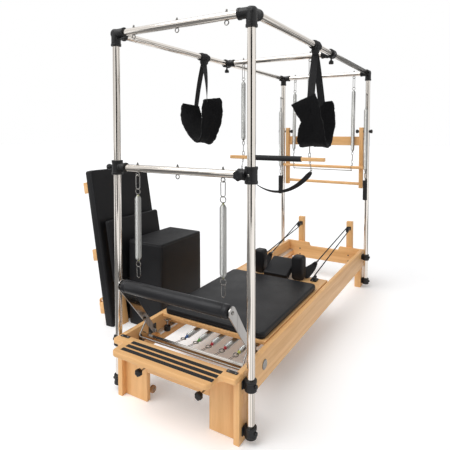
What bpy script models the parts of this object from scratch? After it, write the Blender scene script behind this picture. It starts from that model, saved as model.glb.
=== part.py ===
"""Combo pilates reformer: a wooden reformer bed under a stainless canopy frame, with its accessories.

Metres, +Z up. Every size below is given about the bed: X across it, Y along it from the foot end
(-Y) to the head end (+Y), Z up from the floor. The empty set_origin carries all the pieces and
moves the middle of the whole set's footprint to the world origin. A moving piece has its own
origin on the axis that it turns or slides about.
"""

import math

import bmesh
import bpy
from mathutils import Matrix, Vector

X = Vector((1, 0, 0))
Y = Vector((0, 1, 0))
Z = Vector((0, 0, 1))
SIDES = ((-1, "left"), (1, "right"))

# Clearance between pieces that touch, how far pieces of one body run into each other, and how far
# a cutter runs past the faces that it cuts
GAP = 0.0003
LAP = 0.002
PAST = 0.010

# Flat sides of a round bar where no other count is given
ROD_SIDES = 12

# Share of a cushion's half height that stays upright before its edge rolls in
UPRIGHT_SHARE = 0.6

# Bed
RAIL_OUT = 0.385
RAIL_THICK = 0.030
RAIL_TOP = 0.334
RAIL_DEEP = 0.160
LEDGE_WIDE = 0.0325
LEDGE_TOP = 0.245
LEDGE_DEEP = 0.054
LEDGE_START_Y = -0.930
PLATFORM_BACK_Y = -1.185
PLATFORM_REACH = 0.165
PLATFORM_THICK = 0.028
PLATFORM_HALF = 0.300
EAR_REACH = 0.065
EAR_R = 0.012
NOTCH_R = 0.030
CORNER_R = 0.030
LEG_INSET = 0.0
FOOT_LEG_THICK = 0.032
FOOT_LEG_FRONT = 0.030
FOOT_LEG_BACK = 0.090
FRONT_BOARD_IN = 0.200
FRONT_BOARD_THICK = 0.028
APRON_DEEP = 0.141
STAR_STUD_X = 0.190
STAR_STUD_Z = 0.205
STAR_STUD_LONG = 0.060
STAR_STUD_R = 0.004
STAR_KNOB_R = 0.019
HEAD_BOARD_Y = 1.210
HEAD_BOARD_THICK = 0.030
HEAD_DIP = 0.036
HEAD_DIP_HALF = 0.135
HEAD_DIP_SLOPE = 0.030
HEAD_DIP_R = 0.013
HEAD_LEG_WIDE = 0.055
HEAD_LEG_LONG = 0.100
HEAD_LEG_BACK = 0.010
RISER_X = 0.246
RISER_WIDE = 0.058
RISER_THICK = 0.045
RISER_TOP = 0.585

# Pulleys
PULLEY_R = 0.025
PULLEY_WIDE = 0.018
PULLEY_REACH = 0.070
PULLEY_Z = 0.519
PULLEY_GROOVE = 0.004
PULLEY_RIM = 0.002
AXLE_R = 0.004
CHEEK_THICK = 0.003
CHEEK_HIGH = 0.028

# Ropes
ROPE_R = 0.0035
FERRULE_R = 0.0075
FERRULE_LONG = 0.035
FERRULES = {"left": (-0.215, 0.430, 0.430), "right": (0.233, 0.350, 0.437)}
HAND_LOOP_R = 0.013
HAND_LOOP_LONG = 0.115
HAND_LOOP_HALF = 0.026

# Spring bar and bed springs
SPRING_BAR_Y = -1.0625
SPRING_BAR_WIDE = 0.025
SPRING_BAR_TOP = 0.296
SPRING_BAR_THICK = 0.006
SPRING_BAR_LIP = 0.026
BRACKET_WIDE = 0.022
BRACKET_LONG = 0.039
BRACKET_DEEP = 0.046
BED_SPRINGS = 5
BED_SPRING_X = -0.125
BED_SPRING_STEP = 0.0865
BED_SPRING_Z = 0.270
BED_SPRING_R = 0.015
BED_SPRING_BODY_Y = -0.920
BED_SPRING_BODY_LONG = 0.500
BED_SPRING_HOOK_Y = -0.975
BED_SPRING_TAIL = 0.030
BED_SPRING_CURLS = 3

# Carriage
CARRIAGE_FRONT_Y = -0.865
CARRIAGE_LONG = 1.090
CARRIAGE_SIDE_GAP = 0.005
BOARD_THICK = 0.022
BOARD_ABOVE_LEDGE = 0.071
FASCIA_DEEP = 0.024
FASCIA_THICK = 0.020
PAD_LONG = 0.865
PAD_HALF = 0.338
PAD_THICK = 0.040
PAD_CORNER_R = 0.030
PAD_ROLL = 0.010
PAD_CROWN = 0.004
WHEEL_R = 0.030
WHEEL_WIDE = 0.018
WHEEL_INSET_Y = 0.115
WHEEL_INSET_X = 0.004
GUIDE_R = 0.022
GUIDE_WIDE = 0.020
GUIDE_INSET_Y = 0.045
GUIDE_ABOVE_LEDGE = 0.004
GUIDE_STEM_R = 0.007
WHEEL_PLATE_THICK = 0.006
WHEEL_PLATE_WIDE = 0.040
WHEEL_PLATE_BELOW = 0.012
REST_X = 0.152
REST_WIDE = 0.090
REST_Y = 0.095
REST_THICK = 0.085
REST_HIGH = 0.180
REST_CORNER_R = 0.030
REST_ROLL = 0.014
REST_CROWN = 0.006
CLEAT_X = 0.265
CLEAT_Y = 0.170
CLEAT_HIGH = 0.030
CLEAT_WIDE = 0.040
CLEAT_LONG = 0.056
HEADREST_HALF = 0.100
HEADREST_LONG = 0.220
HEADREST_THICK = 0.045
HEADREST_Y = 0.045
HEADREST_TILT = math.radians(19.6)
HEADREST_CORNER_R = 0.020
HEADREST_ROLL = 0.012
HEADREST_CROWN = 0.006
HEADREST_PIN_R = 0.004
HINGE_HALF = 0.080
HINGE_LEAF = 0.050

# Footbar
PIVOT_Y = -0.948
PIVOT_Z = 0.264
PIVOT_R = 0.008
CAP_R = 0.026
CAP_THICK = 0.007
ARM_LONG = 0.448
ARM_LEAN = math.radians(36.6)
ARM_LOW_R = 0.015
ARM_TOP_R = 0.030
ARM_THICK = 0.006
ARM_SIDE_GAP = 0.005
ROLLER_R = 0.0345
ROLLER_HALF = 0.335
ROLLER_TUBE_R = 0.012
STRUT_AT = 0.1376
STRUT_DROP_Y = -0.070
STRUT_DROP_Z = -0.0795
STRUT_R = 0.004
STRUT_INSET = 0.006

# Canopy
POST_X = 0.421
POST_Y = 1.168
TOP_Z = 2.000
TUBE_R = 0.019
POST_FOOT_Z = 0.030
SOCKET_R = 0.026
SOCKET_REACH = 0.068
SOCKET_BORE = 0.048
CLAMP_R = 0.029
BED_CLAMP_HIGH = 0.052
UPPER_CLAMP_Z = 0.282
LOWER_CLAMP_Z = 0.058
CLAMP_ARM_HALF = 0.016
SLIDE_CLAMP_HIGH = 0.080
LOW_BAR_Z = 1.263
MID_BAR_Y = 0.030
MID_CLAMP_LONG = 0.060
KNOB_R = 0.016
KNOB_LONG = 0.026
KNOB_STEM_R = 0.006
KNOB_STEM = 0.018
BAR_CHECK = 0.025

# Eyebolts and hooks
EYE_R = 0.009
EYE_WIRE_R = 0.0025
EYE_NECK = 0.004
EYE_DROP = TUBE_R + EYE_NECK + 2 * EYE_R
FRONT_EYE_X = 0.290
BACK_EYE_X = 0.293
MID_EYE_X = 0.270
LONG_EYE_Y = -0.255
POST_EYE_Z = TOP_Z - 0.200
POST_EYE_NECK = 0.040
HOOK_WIRE_R = 0.0020
HOOK_R = EYE_WIRE_R + HOOK_WIRE_R + GAP
HOOK_SWEEP = math.radians(280)

# Hanging springs: places are distances below the hook's pivot
SPRING_R = 0.0175
FRONT_SPRING_X = 0.270
FRONT_BODY_AT = 0.097
FRONT_BODY_LONG = 0.360
FRONT_LONG = 0.563
TRAPEZE_BODY_AT = 0.115
TRAPEZE_BODY_LONG = 0.450
BACK_BODY_AT = 0.118
BACK_BODY_LONG = 0.565
SIDE_BODY_AT = 0.125
SIDE_BODY_LONG = 0.560
SIDE_LONG = 0.780
HANDLE_LONG = 0.182
HANDLE_R = 0.020

# Trapeze, roll-down bar and push-through frame
TRAPEZE_BAR_Z = 1.262
TRAPEZE_BAR_HALF = 0.383
TRAPEZE_BAR_R = 0.0145
GRIP_HALF = 0.210
GRIP_R = 0.021
STRAP_END_X = 0.283
STRAP_END_Z = 1.172
STRAP_SAG = 0.162
STRAP_WIDE = 0.038
STRAP_THICK = 0.004
ROLL_BAR_Z = 1.125
ROLL_BAR_HALF = 0.400
ROLL_BAR_R = 0.014
ROLL_ROD_R = 0.004
ROLL_ROD_DROP = 0.030
ROLL_LINK_R = 0.003
PUSH_X = 0.3675
PUSH_WIDE = 0.035
PUSH_DEEP = 0.040
PUSH_BOTTOM = 0.930
PUSH_TOP = 1.500
PUSH_PIVOT_Z = 1.463
PUSH_BOLT_R = 0.005
PUSH_BOLT_SIDES = 8
PUSH_BOLT_OUT = 0.006
PUSH_BOARD_Z = 1.331
PUSH_BOARD_HIGH = 0.083
PUSH_BOARD_THICK = 0.022
PUSH_DOWEL_Z = 0.970
PUSH_DOWEL_R = 0.014

# Fleece loops
LOOP_Y = -0.300
LOOP_TURN = {"left": math.radians(-20), "right": math.radians(-65)}
LOOP_HALF = 0.112
LOOP_ROUND_R = 0.070
LOOP_NARROWS_TO = (1.0, 0.92, 0.78)
LOOP_NARROWS_AT = (0.0, 0.30, 0.55)
LOOP_TOP_Z = 1.690
LOOP_BOTTOM_Z = 1.378
LOOP_WIDE = 0.150
LOOP_THICK = 0.022
WEB_WIDE = 0.040
WEB_THICK = 0.003
WEB_TOP_HALF = 0.006
WRAP_THICK = 0.004

# Accessories beside the bed
BOX_X = -0.797
BOX_Y = -0.2775
BOX_WIDE = 0.320
BOX_LONG = 0.503
BOX_HIGH = 0.646
BOARD_CORNER_R = 0.020
BOX_ROLL = 0.006
BOX_CROWN = 0.003
HAND_HOLE_X = -0.814
HAND_HOLE_Z = 0.146
HAND_HOLE_WIDE = 0.108
HAND_HOLE_HIGH = 0.034
HAND_HOLE_DEEP = 0.025
MAT_FOOT_X = -1.004
MAT_Y = -0.3435
MAT_WIDE = 0.617
MAT_LONG = 1.186
MAT_THICK = 0.075
MAT_ROLL = 0.006
MAT_CROWN = 0.001
MAT_LEAN = math.radians(10.1)
BATTEN_WIDE = 0.085
BATTEN_THICK = 0.042
BATTEN_SHORT = 0.004
BATTEN_AT = (0.140, 0.542, 1.059)
JUMP_Y = -0.3375
JUMP_WIDE = 0.565
JUMP_THICK = 0.045
JUMP_ROLL = 0.008
JUMP_CROWN = 0.003
JUMP_PAD_LOW = 0.322
JUMP_TOP = 0.790
JUMP_LEG_WIDE = 0.060
JUMP_LEG_THICK = 0.028
JUMP_LEG_IN = 0.075
JUMP_LEG_SHORT = 0.060
JUMP_PAD_SUNK = 0.004

# Derived places
RAIL_IN = RAIL_OUT - RAIL_THICK
RAIL_BOTTOM = RAIL_TOP - RAIL_DEEP
RAIL_START_Y = PLATFORM_BACK_Y + GAP
RAIL_END_Y = HEAD_BOARD_Y - GAP
LEG_OUT = RAIL_OUT - LEG_INSET
PLATFORM_BOTTOM = RAIL_TOP - PLATFORM_THICK
BOARD_BOTTOM = LEDGE_TOP + BOARD_ABOVE_LEDGE
BOARD_TOP = BOARD_BOTTOM + BOARD_THICK
BOARD_HALF = RAIL_IN - CARRIAGE_SIDE_GAP
CARRIAGE_BACK_Y = CARRIAGE_FRONT_Y + CARRIAGE_LONG
RISER_Y = HEAD_BOARD_Y + HEAD_BOARD_THICK + GAP
PULLEY_Y = RISER_Y - PULLEY_REACH
ARM_X = RAIL_IN - ARM_SIDE_GAP
ARM_END_Y = PIVOT_Y - ARM_LONG * math.sin(ARM_LEAN)
ARM_END_Z = PIVOT_Z + ARM_LONG * math.cos(ARM_LEAN)
BAR_HALF = POST_X - BAR_CHECK
LEAN = Matrix.Rotation(-MAT_LEAN, 4, "Y")

WOOD = ((0.68, 0.40, 0.17), 0.45, 0.0)
STEEL = ((0.62, 0.61, 0.59), 0.30, 1.0)
SPRING_STEEL = ((0.45, 0.45, 0.46), 0.35, 1.0)
PLASTIC = ((0.02, 0.02, 0.022), 0.50, 0.0)
UPHOLSTERY = ((0.03, 0.03, 0.033), 0.55, 0.0)
FLEECE = ((0.012, 0.012, 0.013), 0.95, 0.0)
ROPE = ((0.015, 0.015, 0.016), 0.80, 0.0)


def clear_scene():
    for obj in list(bpy.data.objects):
        bpy.data.objects.remove(obj, do_unlink=True)


def new_collection(name):
    made = bpy.data.collections.new(name)
    bpy.context.scene.collection.children.link(made)
    return made


def material(name, look):
    """The Principled material of this name, made on its first use."""
    colour, roughness, metallic = look
    made = bpy.data.materials.get(name)
    if made is None:
        made = bpy.data.materials.new(name)
        made.use_nodes = True
        shader = made.node_tree.nodes["Principled BSDF"]
        shader.inputs["Base Color"].default_value = (*colour, 1)
        shader.inputs["Roughness"].default_value = roughness
        shader.inputs["Metallic"].default_value = metallic
        made.diffuse_color = (*colour, 1)
    return made


def helper(bm):
    """A helper object that holds this mesh, with its faces turned outward."""
    bmesh.ops.remove_doubles(bm, verts=bm.verts, dist=1e-6)
    bmesh.ops.recalc_face_normals(bm, faces=bm.faces)
    mesh = bpy.data.meshes.new("helper")
    bm.to_mesh(mesh)
    bm.free()
    made = bpy.data.objects.new("helper", mesh)
    made.hide_render = True
    made.display_type = "WIRE"
    HELPERS.objects.link(made)
    return made


def evaluated_mesh(obj):
    bpy.context.view_layer.update()
    graph = bpy.context.evaluated_depsgraph_get()
    return bpy.data.meshes.new_from_object(obj.evaluated_get(graph))


def as_helper(obj):
    """The evaluated shape of a curve or of an object with modifiers, as a helper mesh."""
    mesh = evaluated_mesh(obj)
    bm = bmesh.new()
    bm.from_mesh(mesh)
    bm.transform(obj.matrix_world)
    bpy.data.meshes.remove(mesh)
    bpy.data.objects.remove(obj, do_unlink=True)
    return helper(bm)


def box(x, y, z):
    """A box between the two values given for each axis."""
    bm = bmesh.new()
    bmesh.ops.create_cube(bm, size=1)
    size = [abs(ends[1] - ends[0]) for ends in (x, y, z)]
    middle = [(ends[1] + ends[0]) / 2 for ends in (x, y, z)]
    bmesh.ops.scale(bm, vec=size, verts=bm.verts)
    bmesh.ops.translate(bm, vec=middle, verts=bm.verts)
    return helper(bm)


def turning_bore(radius, sides):
    """The radius of a bore in which a rod of this many flat sides can turn."""
    return (radius + GAP) / math.cos(math.pi / sides)


def rod(start, end, radius, sides=ROD_SIDES, end_radius=None):
    """A round bar, or a cone where end_radius is given."""
    start, end = Vector(start), Vector(end)
    along = end - start
    bm = bmesh.new()
    bmesh.ops.create_cone(
        bm,
        cap_ends=True,
        segments=sides,
        radius1=radius,
        radius2=radius if end_radius is None else end_radius,
        depth=along.length,
    )
    turn = Z.rotation_difference(along).to_matrix().to_4x4()
    bm.transform(Matrix.Translation((start + end) / 2) @ turn)
    return helper(bm)


def tube(points, radius, resolution=2, closed=False):
    """A wire or tube through the points, as a curve with a round bevel and filled caps."""
    curve = bpy.data.curves.new("tube", "CURVE")
    curve.dimensions = "3D"
    curve.bevel_depth = radius
    curve.bevel_resolution = resolution
    curve.use_fill_caps = True
    spline = curve.splines.new("POLY")
    spline.points.add(len(points) - 1)
    for target, point in zip(spline.points, points):
        target.co = (*point, 1)
    spline.use_cyclic_u = closed
    made = bpy.data.objects.new("tube", curve)
    HELPERS.objects.link(made)
    return as_helper(made)


def plate(outline, thick, origin, across, up):
    """A flat outline, given along two directions, with its thickness split over both sides."""
    curve = bpy.data.curves.new("plate", "CURVE")
    curve.dimensions = "2D"
    curve.fill_mode = "BOTH"
    curve.extrude = thick / 2
    spline = curve.splines.new("POLY")
    spline.points.add(len(outline) - 1)
    for target, point in zip(spline.points, outline):
        target.co = (*point, 0, 1)
    spline.use_cyclic_u = True
    made = bpy.data.objects.new("plate", curve)
    HELPERS.objects.link(made)
    across, up = Vector(across).normalized(), Vector(up).normalized()
    turn = Matrix((across, up, across.cross(up))).transposed().to_4x4()
    made.matrix_world = Matrix.Translation(origin) @ turn
    bpy.context.view_layer.update()
    return as_helper(made)


def turned(profile, start, along, steps=12):
    """A profile of (radius, place along the axis), far end first, turned about the axis."""
    bm = bmesh.new()
    corners = [bm.verts.new((radius, 0, place)) for radius, place in profile]
    for first, second in zip(corners, corners[1:]):
        bm.edges.new((first, second))
    mesh = bpy.data.meshes.new("turned")
    bm.to_mesh(mesh)
    bm.free()
    made = bpy.data.objects.new("turned", mesh)
    HELPERS.objects.link(made)
    screw = made.modifiers.new("turn", "SCREW")
    screw.steps = steps
    screw.render_steps = steps
    screw.use_merge_vertices = True
    screw.merge_threshold = 0.00001
    turn = Z.rotation_difference(Vector(along)).to_matrix().to_4x4()
    made.matrix_world = Matrix.Translation(start) @ turn
    bpy.context.view_layer.update()
    return as_helper(made)


def ring_profile(bore, rim):
    """A closed profile that mirrors the rim's points about the middle of a bored wheel."""
    half = [(bore, rim[0][1]), *rim]
    whole = half + [(radius, -place) for radius, place in reversed(half)]
    return [*whole, whole[0]]


def cushion(size, corner, roll, crown, middle_cuts=1, round_corners=True):
    """A padded block about the origin, with rounded corners, rolled edges and a crowned top.

    The sides draw in toward the top and bottom faces by `roll`, along a quarter ellipse.
    """
    half = [length / 2 for length in size]
    bm = bmesh.new()
    bmesh.ops.create_cube(bm, size=1)
    bmesh.ops.scale(bm, vec=size, verts=bm.verts)
    for axis in (0, 1):
        places = [half[axis] - corner]
        if round_corners:
            places.append(half[axis] - corner / 2)
        steps = middle_cuts + 1
        cuts = [(2 * step / steps - 1) * (half[axis] - corner) for step in range(1, steps)]
        cuts += places + [-place for place in places]
        for place in cuts:
            where, facing = Vector((0, 0, 0)), Vector((0, 0, 0))
            where[axis], facing[axis] = place, 1
            bmesh.ops.bisect_plane(
                bm, geom=bm.verts[:] + bm.edges[:] + bm.faces[:], plane_co=where, plane_no=facing
            )
    for height in (half[2] * UPRIGHT_SHARE, -half[2] * UPRIGHT_SHARE):
        bmesh.ops.bisect_plane(
            bm, geom=bm.verts[:] + bm.edges[:] + bm.faces[:], plane_co=(0, 0, height), plane_no=Z
        )
    for vert in bm.verts:
        flat = [vert.co.x, vert.co.y]
        past = [max(abs(flat[axis]) - (half[axis] - corner), 0) for axis in (0, 1)]
        length = math.hypot(*past)
        if length > 1e-9 and min(past) > 1e-9:
            for axis in (0, 1):
                moved = past[axis] * max(past) / length
                flat[axis] = math.copysign(half[axis] - corner + moved, flat[axis])
        level = vert.co.z / half[2]
        rolled = max(abs(level) - UPRIGHT_SHARE, 0) / (1 - UPRIGHT_SHARE)
        draw = roll * (1 - math.sqrt(max(1 - rolled**2, 0)))
        share = [flat[axis] / half[axis] for axis in (0, 1)]
        rise = (1 - share[0] ** 4) * (1 - share[1] ** 4)
        for axis in (0, 1):
            flat[axis] *= (half[axis] - draw) / half[axis]
        top = crown * rise if level > 0 else 0
        vert.co = (flat[0], flat[1], vert.co.z + top * max(level, 0))
    return helper(bm)


def moved(obj, place=(0, 0, 0), turn=None):
    """The helper turned about the origin and then moved to its place."""
    matrix = Matrix.Translation(place)
    if turn is not None:
        matrix = matrix @ turn
    obj.data.transform(matrix)
    return obj


def make(name, look, pieces, cuts=(), origin=(0, 0, 0), smooth=True):
    """One named body: the pieces joined, less the cuts, with its own origin."""
    base = pieces[0]
    for operation, others in (("UNION", pieces[1:]), ("DIFFERENCE", cuts)):
        for other in others:
            join = base.modifiers.new(operation.lower(), "BOOLEAN")
            join.operation = operation
            join.solver = "EXACT"
            join.object = other
    mesh = evaluated_mesh(base) if len(base.modifiers) else base.data.copy()
    for obj in (*pieces, *cuts):
        bpy.data.objects.remove(obj, do_unlink=True)
    mesh.transform(Matrix.Translation(-Vector(origin)))
    mesh.name = name
    if smooth:
        mesh.shade_smooth()
        mesh.set_sharp_from_angle(angle=math.radians(35))
    mesh.materials.clear()
    mesh.materials.append(material(name + "_finish", look))
    made = bpy.data.objects.new(name, mesh)
    made.location = origin
    made.parent = SET_ORIGIN
    PARTS.objects.link(made)
    return made


def arc(centre, radius, start, end, steps):
    """Points on an arc in a plane, with the angles in degrees."""
    angles = [math.radians(start + (end - start) * step / steps) for step in range(steps + 1)]
    return [
        (centre[0] + radius * math.cos(angle), centre[1] + radius * math.sin(angle))
        for angle in angles
    ]


def mirrored(outline):
    """The outline of one half, from the centre line outward, followed by its mirror image."""
    return [*outline, *((-x, y) for x, y in reversed(outline) if abs(x) > 1e-9)]


def circle(centre, radius, first, second, steps=12):
    """Points round a circle that lies along two directions."""
    centre = Vector(centre)
    return [
        centre
        + first * radius * math.cos(2 * math.pi * step / steps)
        + second * radius * math.sin(2 * math.pi * step / steps)
        for step in range(steps)
    ]


def smooth_route(points, count):
    """Evenly spaced points on a Catmull-Rom curve through the given points."""
    points = [Vector(point) for point in points]
    ends = [2 * points[0] - points[1], *points, 2 * points[-1] - points[-2]]
    fine = []
    for before, start, end, after in zip(ends, ends[1:], ends[2:], ends[3:]):
        for step in range(24):
            t = step / 24
            fine.append(
                0.5
                * (
                    2 * start
                    + (end - before) * t
                    + (2 * before - 5 * start + 4 * end - after) * t**2
                    + (3 * start - before - 3 * end + after) * t**3
                )
            )
    fine.append(points[-1])
    lengths = [0.0]
    for first, second in zip(fine, fine[1:]):
        lengths.append(lengths[-1] + (second - first).length)
    route, place = [], 0
    for step in range(count):
        target = lengths[-1] * step / (count - 1)
        while place < len(fine) - 2 and lengths[place + 1] < target:
            place += 1
        span = max(lengths[place + 1] - lengths[place], 1e-12)
        route.append(fine[place].lerp(fine[place + 1], (target - lengths[place]) / span))
    return route


def star_knob(start, along):
    """A round knob on its stem, from the face that it stands on."""
    start, along = Vector(start), Vector(along)
    shoulder = start + along * KNOB_STEM
    return [
        rod(start - along * LAP, shoulder + along * LAP, KNOB_STEM_R, 6),
        rod(shoulder, shoulder + along * KNOB_LONG, KNOB_R, 10),
    ]


def eye(top, down, across, neck=EYE_NECK):
    """An eyebolt's neck and ring: `top` is on the tube's axis, and the ring hangs along `down`."""
    top, down, across = Vector(top), Vector(down), Vector(across)
    centre = top + down * (TUBE_R + neck + EYE_R)
    return [
        rod(top + down * (TUBE_R - LAP), centre - down * (EYE_R - EYE_WIRE_R / 2), EYE_WIRE_R, 4),
        tube(circle(centre, EYE_R, across, down, 8), EYE_WIRE_R, 0, True),
    ]


def tube_with_eyes(start, end, eyes):
    """A canopy tube with an eyebolt below it at each of the given points."""
    pieces = [rod(start, end, TUBE_R)]
    along = (Vector(end) - Vector(start)).normalized()
    for place in eyes:
        pieces += eye(place, -Z, along)
    return pieces


def coil_points(start, along, first, second, length, radius, curls, taper):
    """A helix from `start`, whose radius grows over the first `taper` curls and shrinks over the last."""
    per_curl = 8
    points = []
    for step in range(curls * per_curl + 1):
        turns = step / per_curl
        share = min(turns / taper, (curls - turns) / taper, 1)
        reach = radius * math.sin(share * math.pi / 2)
        angle = 2 * math.pi * turns
        points.append(
            start
            + along * (length * turns / curls)
            + first * reach * math.cos(angle)
            + second * reach * math.sin(angle)
        )
    return points


def least_gap(points, wire_radius):
    """The least clear distance between stretches of one wire over three wire widths apart."""
    least = math.inf
    for index, point in enumerate(points):
        run = 0
        for before, after in zip(points[index:], points[index + 1 :]):
            run += (after - before).length
            if run > 6 * wire_radius:
                least = min(least, (after - point).length - 2 * wire_radius)
    return least


def hook_points(pivot, along, side):
    """The hook's wire, over the eye at `pivot` and down again to the line along which the spring hangs."""
    points = []
    steps = 6
    for step in range(steps + 1):
        angle = HOOK_SWEEP * (step / steps - 0.5)
        points.append(pivot - along * HOOK_R * math.cos(angle) + side * HOOK_R * math.sin(angle))
    return points


def hanging_spring(pivot, end, curls, body_at, body_long, side):
    """A spring on its hook: one unbroken wire from the hook, down the coil and on to `end`."""
    pivot, end = Vector(pivot), Vector(end)
    along = (end - pivot).normalized()
    across = along.cross(side).normalized()
    coil = coil_points(
        pivot + along * body_at, along, side, across, body_long, SPRING_R - HOOK_WIRE_R, curls, 1
    )
    points = [*hook_points(pivot, along, side), pivot + along * 3 * HOOK_R, *coil, end]
    print(f"coil of {curls} curls: least gap {1000 * least_gap(coil, HOOK_WIRE_R):.1f} mm")
    return tube(points, HOOK_WIRE_R, 1)


def build_rails():
    for side, word in SIDES:
        rail = box(
            (side * RAIL_IN, side * RAIL_OUT), (RAIL_START_Y, RAIL_END_Y), (RAIL_BOTTOM, RAIL_TOP)
        )
        ledge = box(
            (side * (RAIL_IN - LEDGE_WIDE), side * (RAIL_IN + LAP)),
            (LEDGE_START_Y, RAIL_END_Y),
            (LEDGE_TOP - LEDGE_DEEP, LEDGE_TOP),
        )
        bore = rod(
            (side * (RAIL_IN - PAST), PIVOT_Y, PIVOT_Z),
            (side * (RAIL_OUT + PAST), PIVOT_Y, PIVOT_Z),
            PIVOT_R + 2 * GAP,
        )
        make("rail_" + word, WOOD, [rail, ledge], [bore], smooth=False)


def build_platform():
    front = PLATFORM_BACK_Y - PLATFORM_REACH
    ear = PLATFORM_BACK_Y - EAR_REACH
    outline = [(0, PLATFORM_BACK_Y), (RAIL_OUT, PLATFORM_BACK_Y)]
    outline += arc((RAIL_OUT - EAR_R, ear + EAR_R), EAR_R, 0, -90, 3)
    outline += arc((PLATFORM_HALF + NOTCH_R, ear - NOTCH_R), NOTCH_R, 90, 180, 4)
    outline += arc((PLATFORM_HALF - CORNER_R, front + CORNER_R), CORNER_R, 0, -90, 5)
    outline.append((0, front))
    middle = (0, 0, RAIL_TOP - PLATFORM_THICK / 2)
    board = plate(mirrored(outline), PLATFORM_THICK, middle, X, Y)
    make("foot_platform", WOOD, [board], smooth=False)


def build_foot_legs():
    front = PLATFORM_BACK_Y - FOOT_LEG_FRONT
    back = PLATFORM_BACK_Y + FOOT_LEG_BACK
    top = PLATFORM_BOTTOM - GAP
    step = RAIL_BOTTOM - GAP
    outline = [(front, 0), (back, 0), (back, step)]
    outline += [(PLATFORM_BACK_Y - GAP, step), (PLATFORM_BACK_Y - GAP, top), (front, top)]
    for side, word in SIDES:
        middle = (side * (LEG_OUT - FOOT_LEG_THICK / 2), 0, 0)
        board = box(
            (side * FRONT_BOARD_IN, side * (LEG_OUT - FOOT_LEG_THICK + LAP)),
            (PLATFORM_BACK_Y, PLATFORM_BACK_Y + FRONT_BOARD_THICK),
            (0, top),
        )
        side_board = plate(outline, FOOT_LEG_THICK, middle, Y, Z)
        make("foot_leg_" + word, WOOD, [side_board, board], smooth=False)
    apron = box(
        (-FRONT_BOARD_IN + GAP, FRONT_BOARD_IN - GAP),
        (PLATFORM_BACK_Y, PLATFORM_BACK_Y + FRONT_BOARD_THICK),
        (PLATFORM_BOTTOM - APRON_DEEP, top),
    )
    pieces = [apron]
    for side, _ in SIDES:
        face = Vector((side * STAR_STUD_X, PLATFORM_BACK_Y, STAR_STUD_Z))
        pieces.append(rod(face + Y * LAP, face - Y * STAR_STUD_LONG, STAR_STUD_R, 8))
        knob = face - Y * STAR_STUD_LONG
        pieces.append(rod(knob + Y * LAP, knob - Y * KNOB_LONG, STAR_KNOB_R))
    make("foot_apron", WOOD, pieces)


def build_head_end():
    low = RAIL_TOP - HEAD_DIP
    outline = [(0, RAIL_BOTTOM), (RAIL_OUT, RAIL_BOTTOM), (RAIL_OUT, RAIL_TOP)]
    shoulder = (HEAD_DIP_HALF + HEAD_DIP_SLOPE, RAIL_TOP - HEAD_DIP_R)
    outline += arc(shoulder, HEAD_DIP_R, 90, 150, 3)
    outline += arc((HEAD_DIP_HALF, low + HEAD_DIP_R), HEAD_DIP_R, -30, -90, 3)
    outline.append((0, low))
    middle = (0, HEAD_BOARD_Y + HEAD_BOARD_THICK / 2, 0)
    board = plate(mirrored(outline), HEAD_BOARD_THICK, middle, X, Z)
    make("head_board", WOOD, [board], smooth=False)
    back = HEAD_BOARD_Y + HEAD_LEG_BACK
    for side, word in SIDES:
        leg = box(
            (side * (LEG_OUT - HEAD_LEG_WIDE), side * LEG_OUT),
            (back - HEAD_LEG_LONG, back),
            (0, RAIL_BOTTOM - GAP),
        )
        make("head_leg_" + word, WOOD, [leg], smooth=False)


def build_risers():
    cheek = PULLEY_WIDE / 2 + GAP
    for side, word in SIDES:
        x = side * RISER_X
        riser = box(
            (x - RISER_WIDE / 2, x + RISER_WIDE / 2),
            (RISER_Y, RISER_Y + RISER_THICK),
            (RAIL_BOTTOM, RISER_TOP),
        )
        pieces = [riser]
        for face in (-1, 1):
            pieces.append(
                box(
                    (x + face * cheek, x + face * (cheek + CHEEK_THICK)),
                    (PULLEY_Y - CHEEK_HIGH / 2, RISER_Y + LAP),
                    (PULLEY_Z - CHEEK_HIGH / 2, PULLEY_Z + CHEEK_HIGH / 2),
                )
            )
        reach = cheek + CHEEK_THICK
        axis = Vector((x, PULLEY_Y, PULLEY_Z))
        pieces.append(rod(axis - X * reach, axis + X * reach, AXLE_R, 8))
        make("riser_" + word, WOOD, pieces)
        half = PULLEY_WIDE / 2
        rim = [(PULLEY_R, half), (PULLEY_R, half - PULLEY_RIM), (PULLEY_R - PULLEY_GROOVE, ROPE_R)]
        pulley = turned(ring_profile(AXLE_R + GAP, rim), axis, X)
        make("pulley_" + word, PLASTIC, [pulley], origin=axis)


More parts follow.
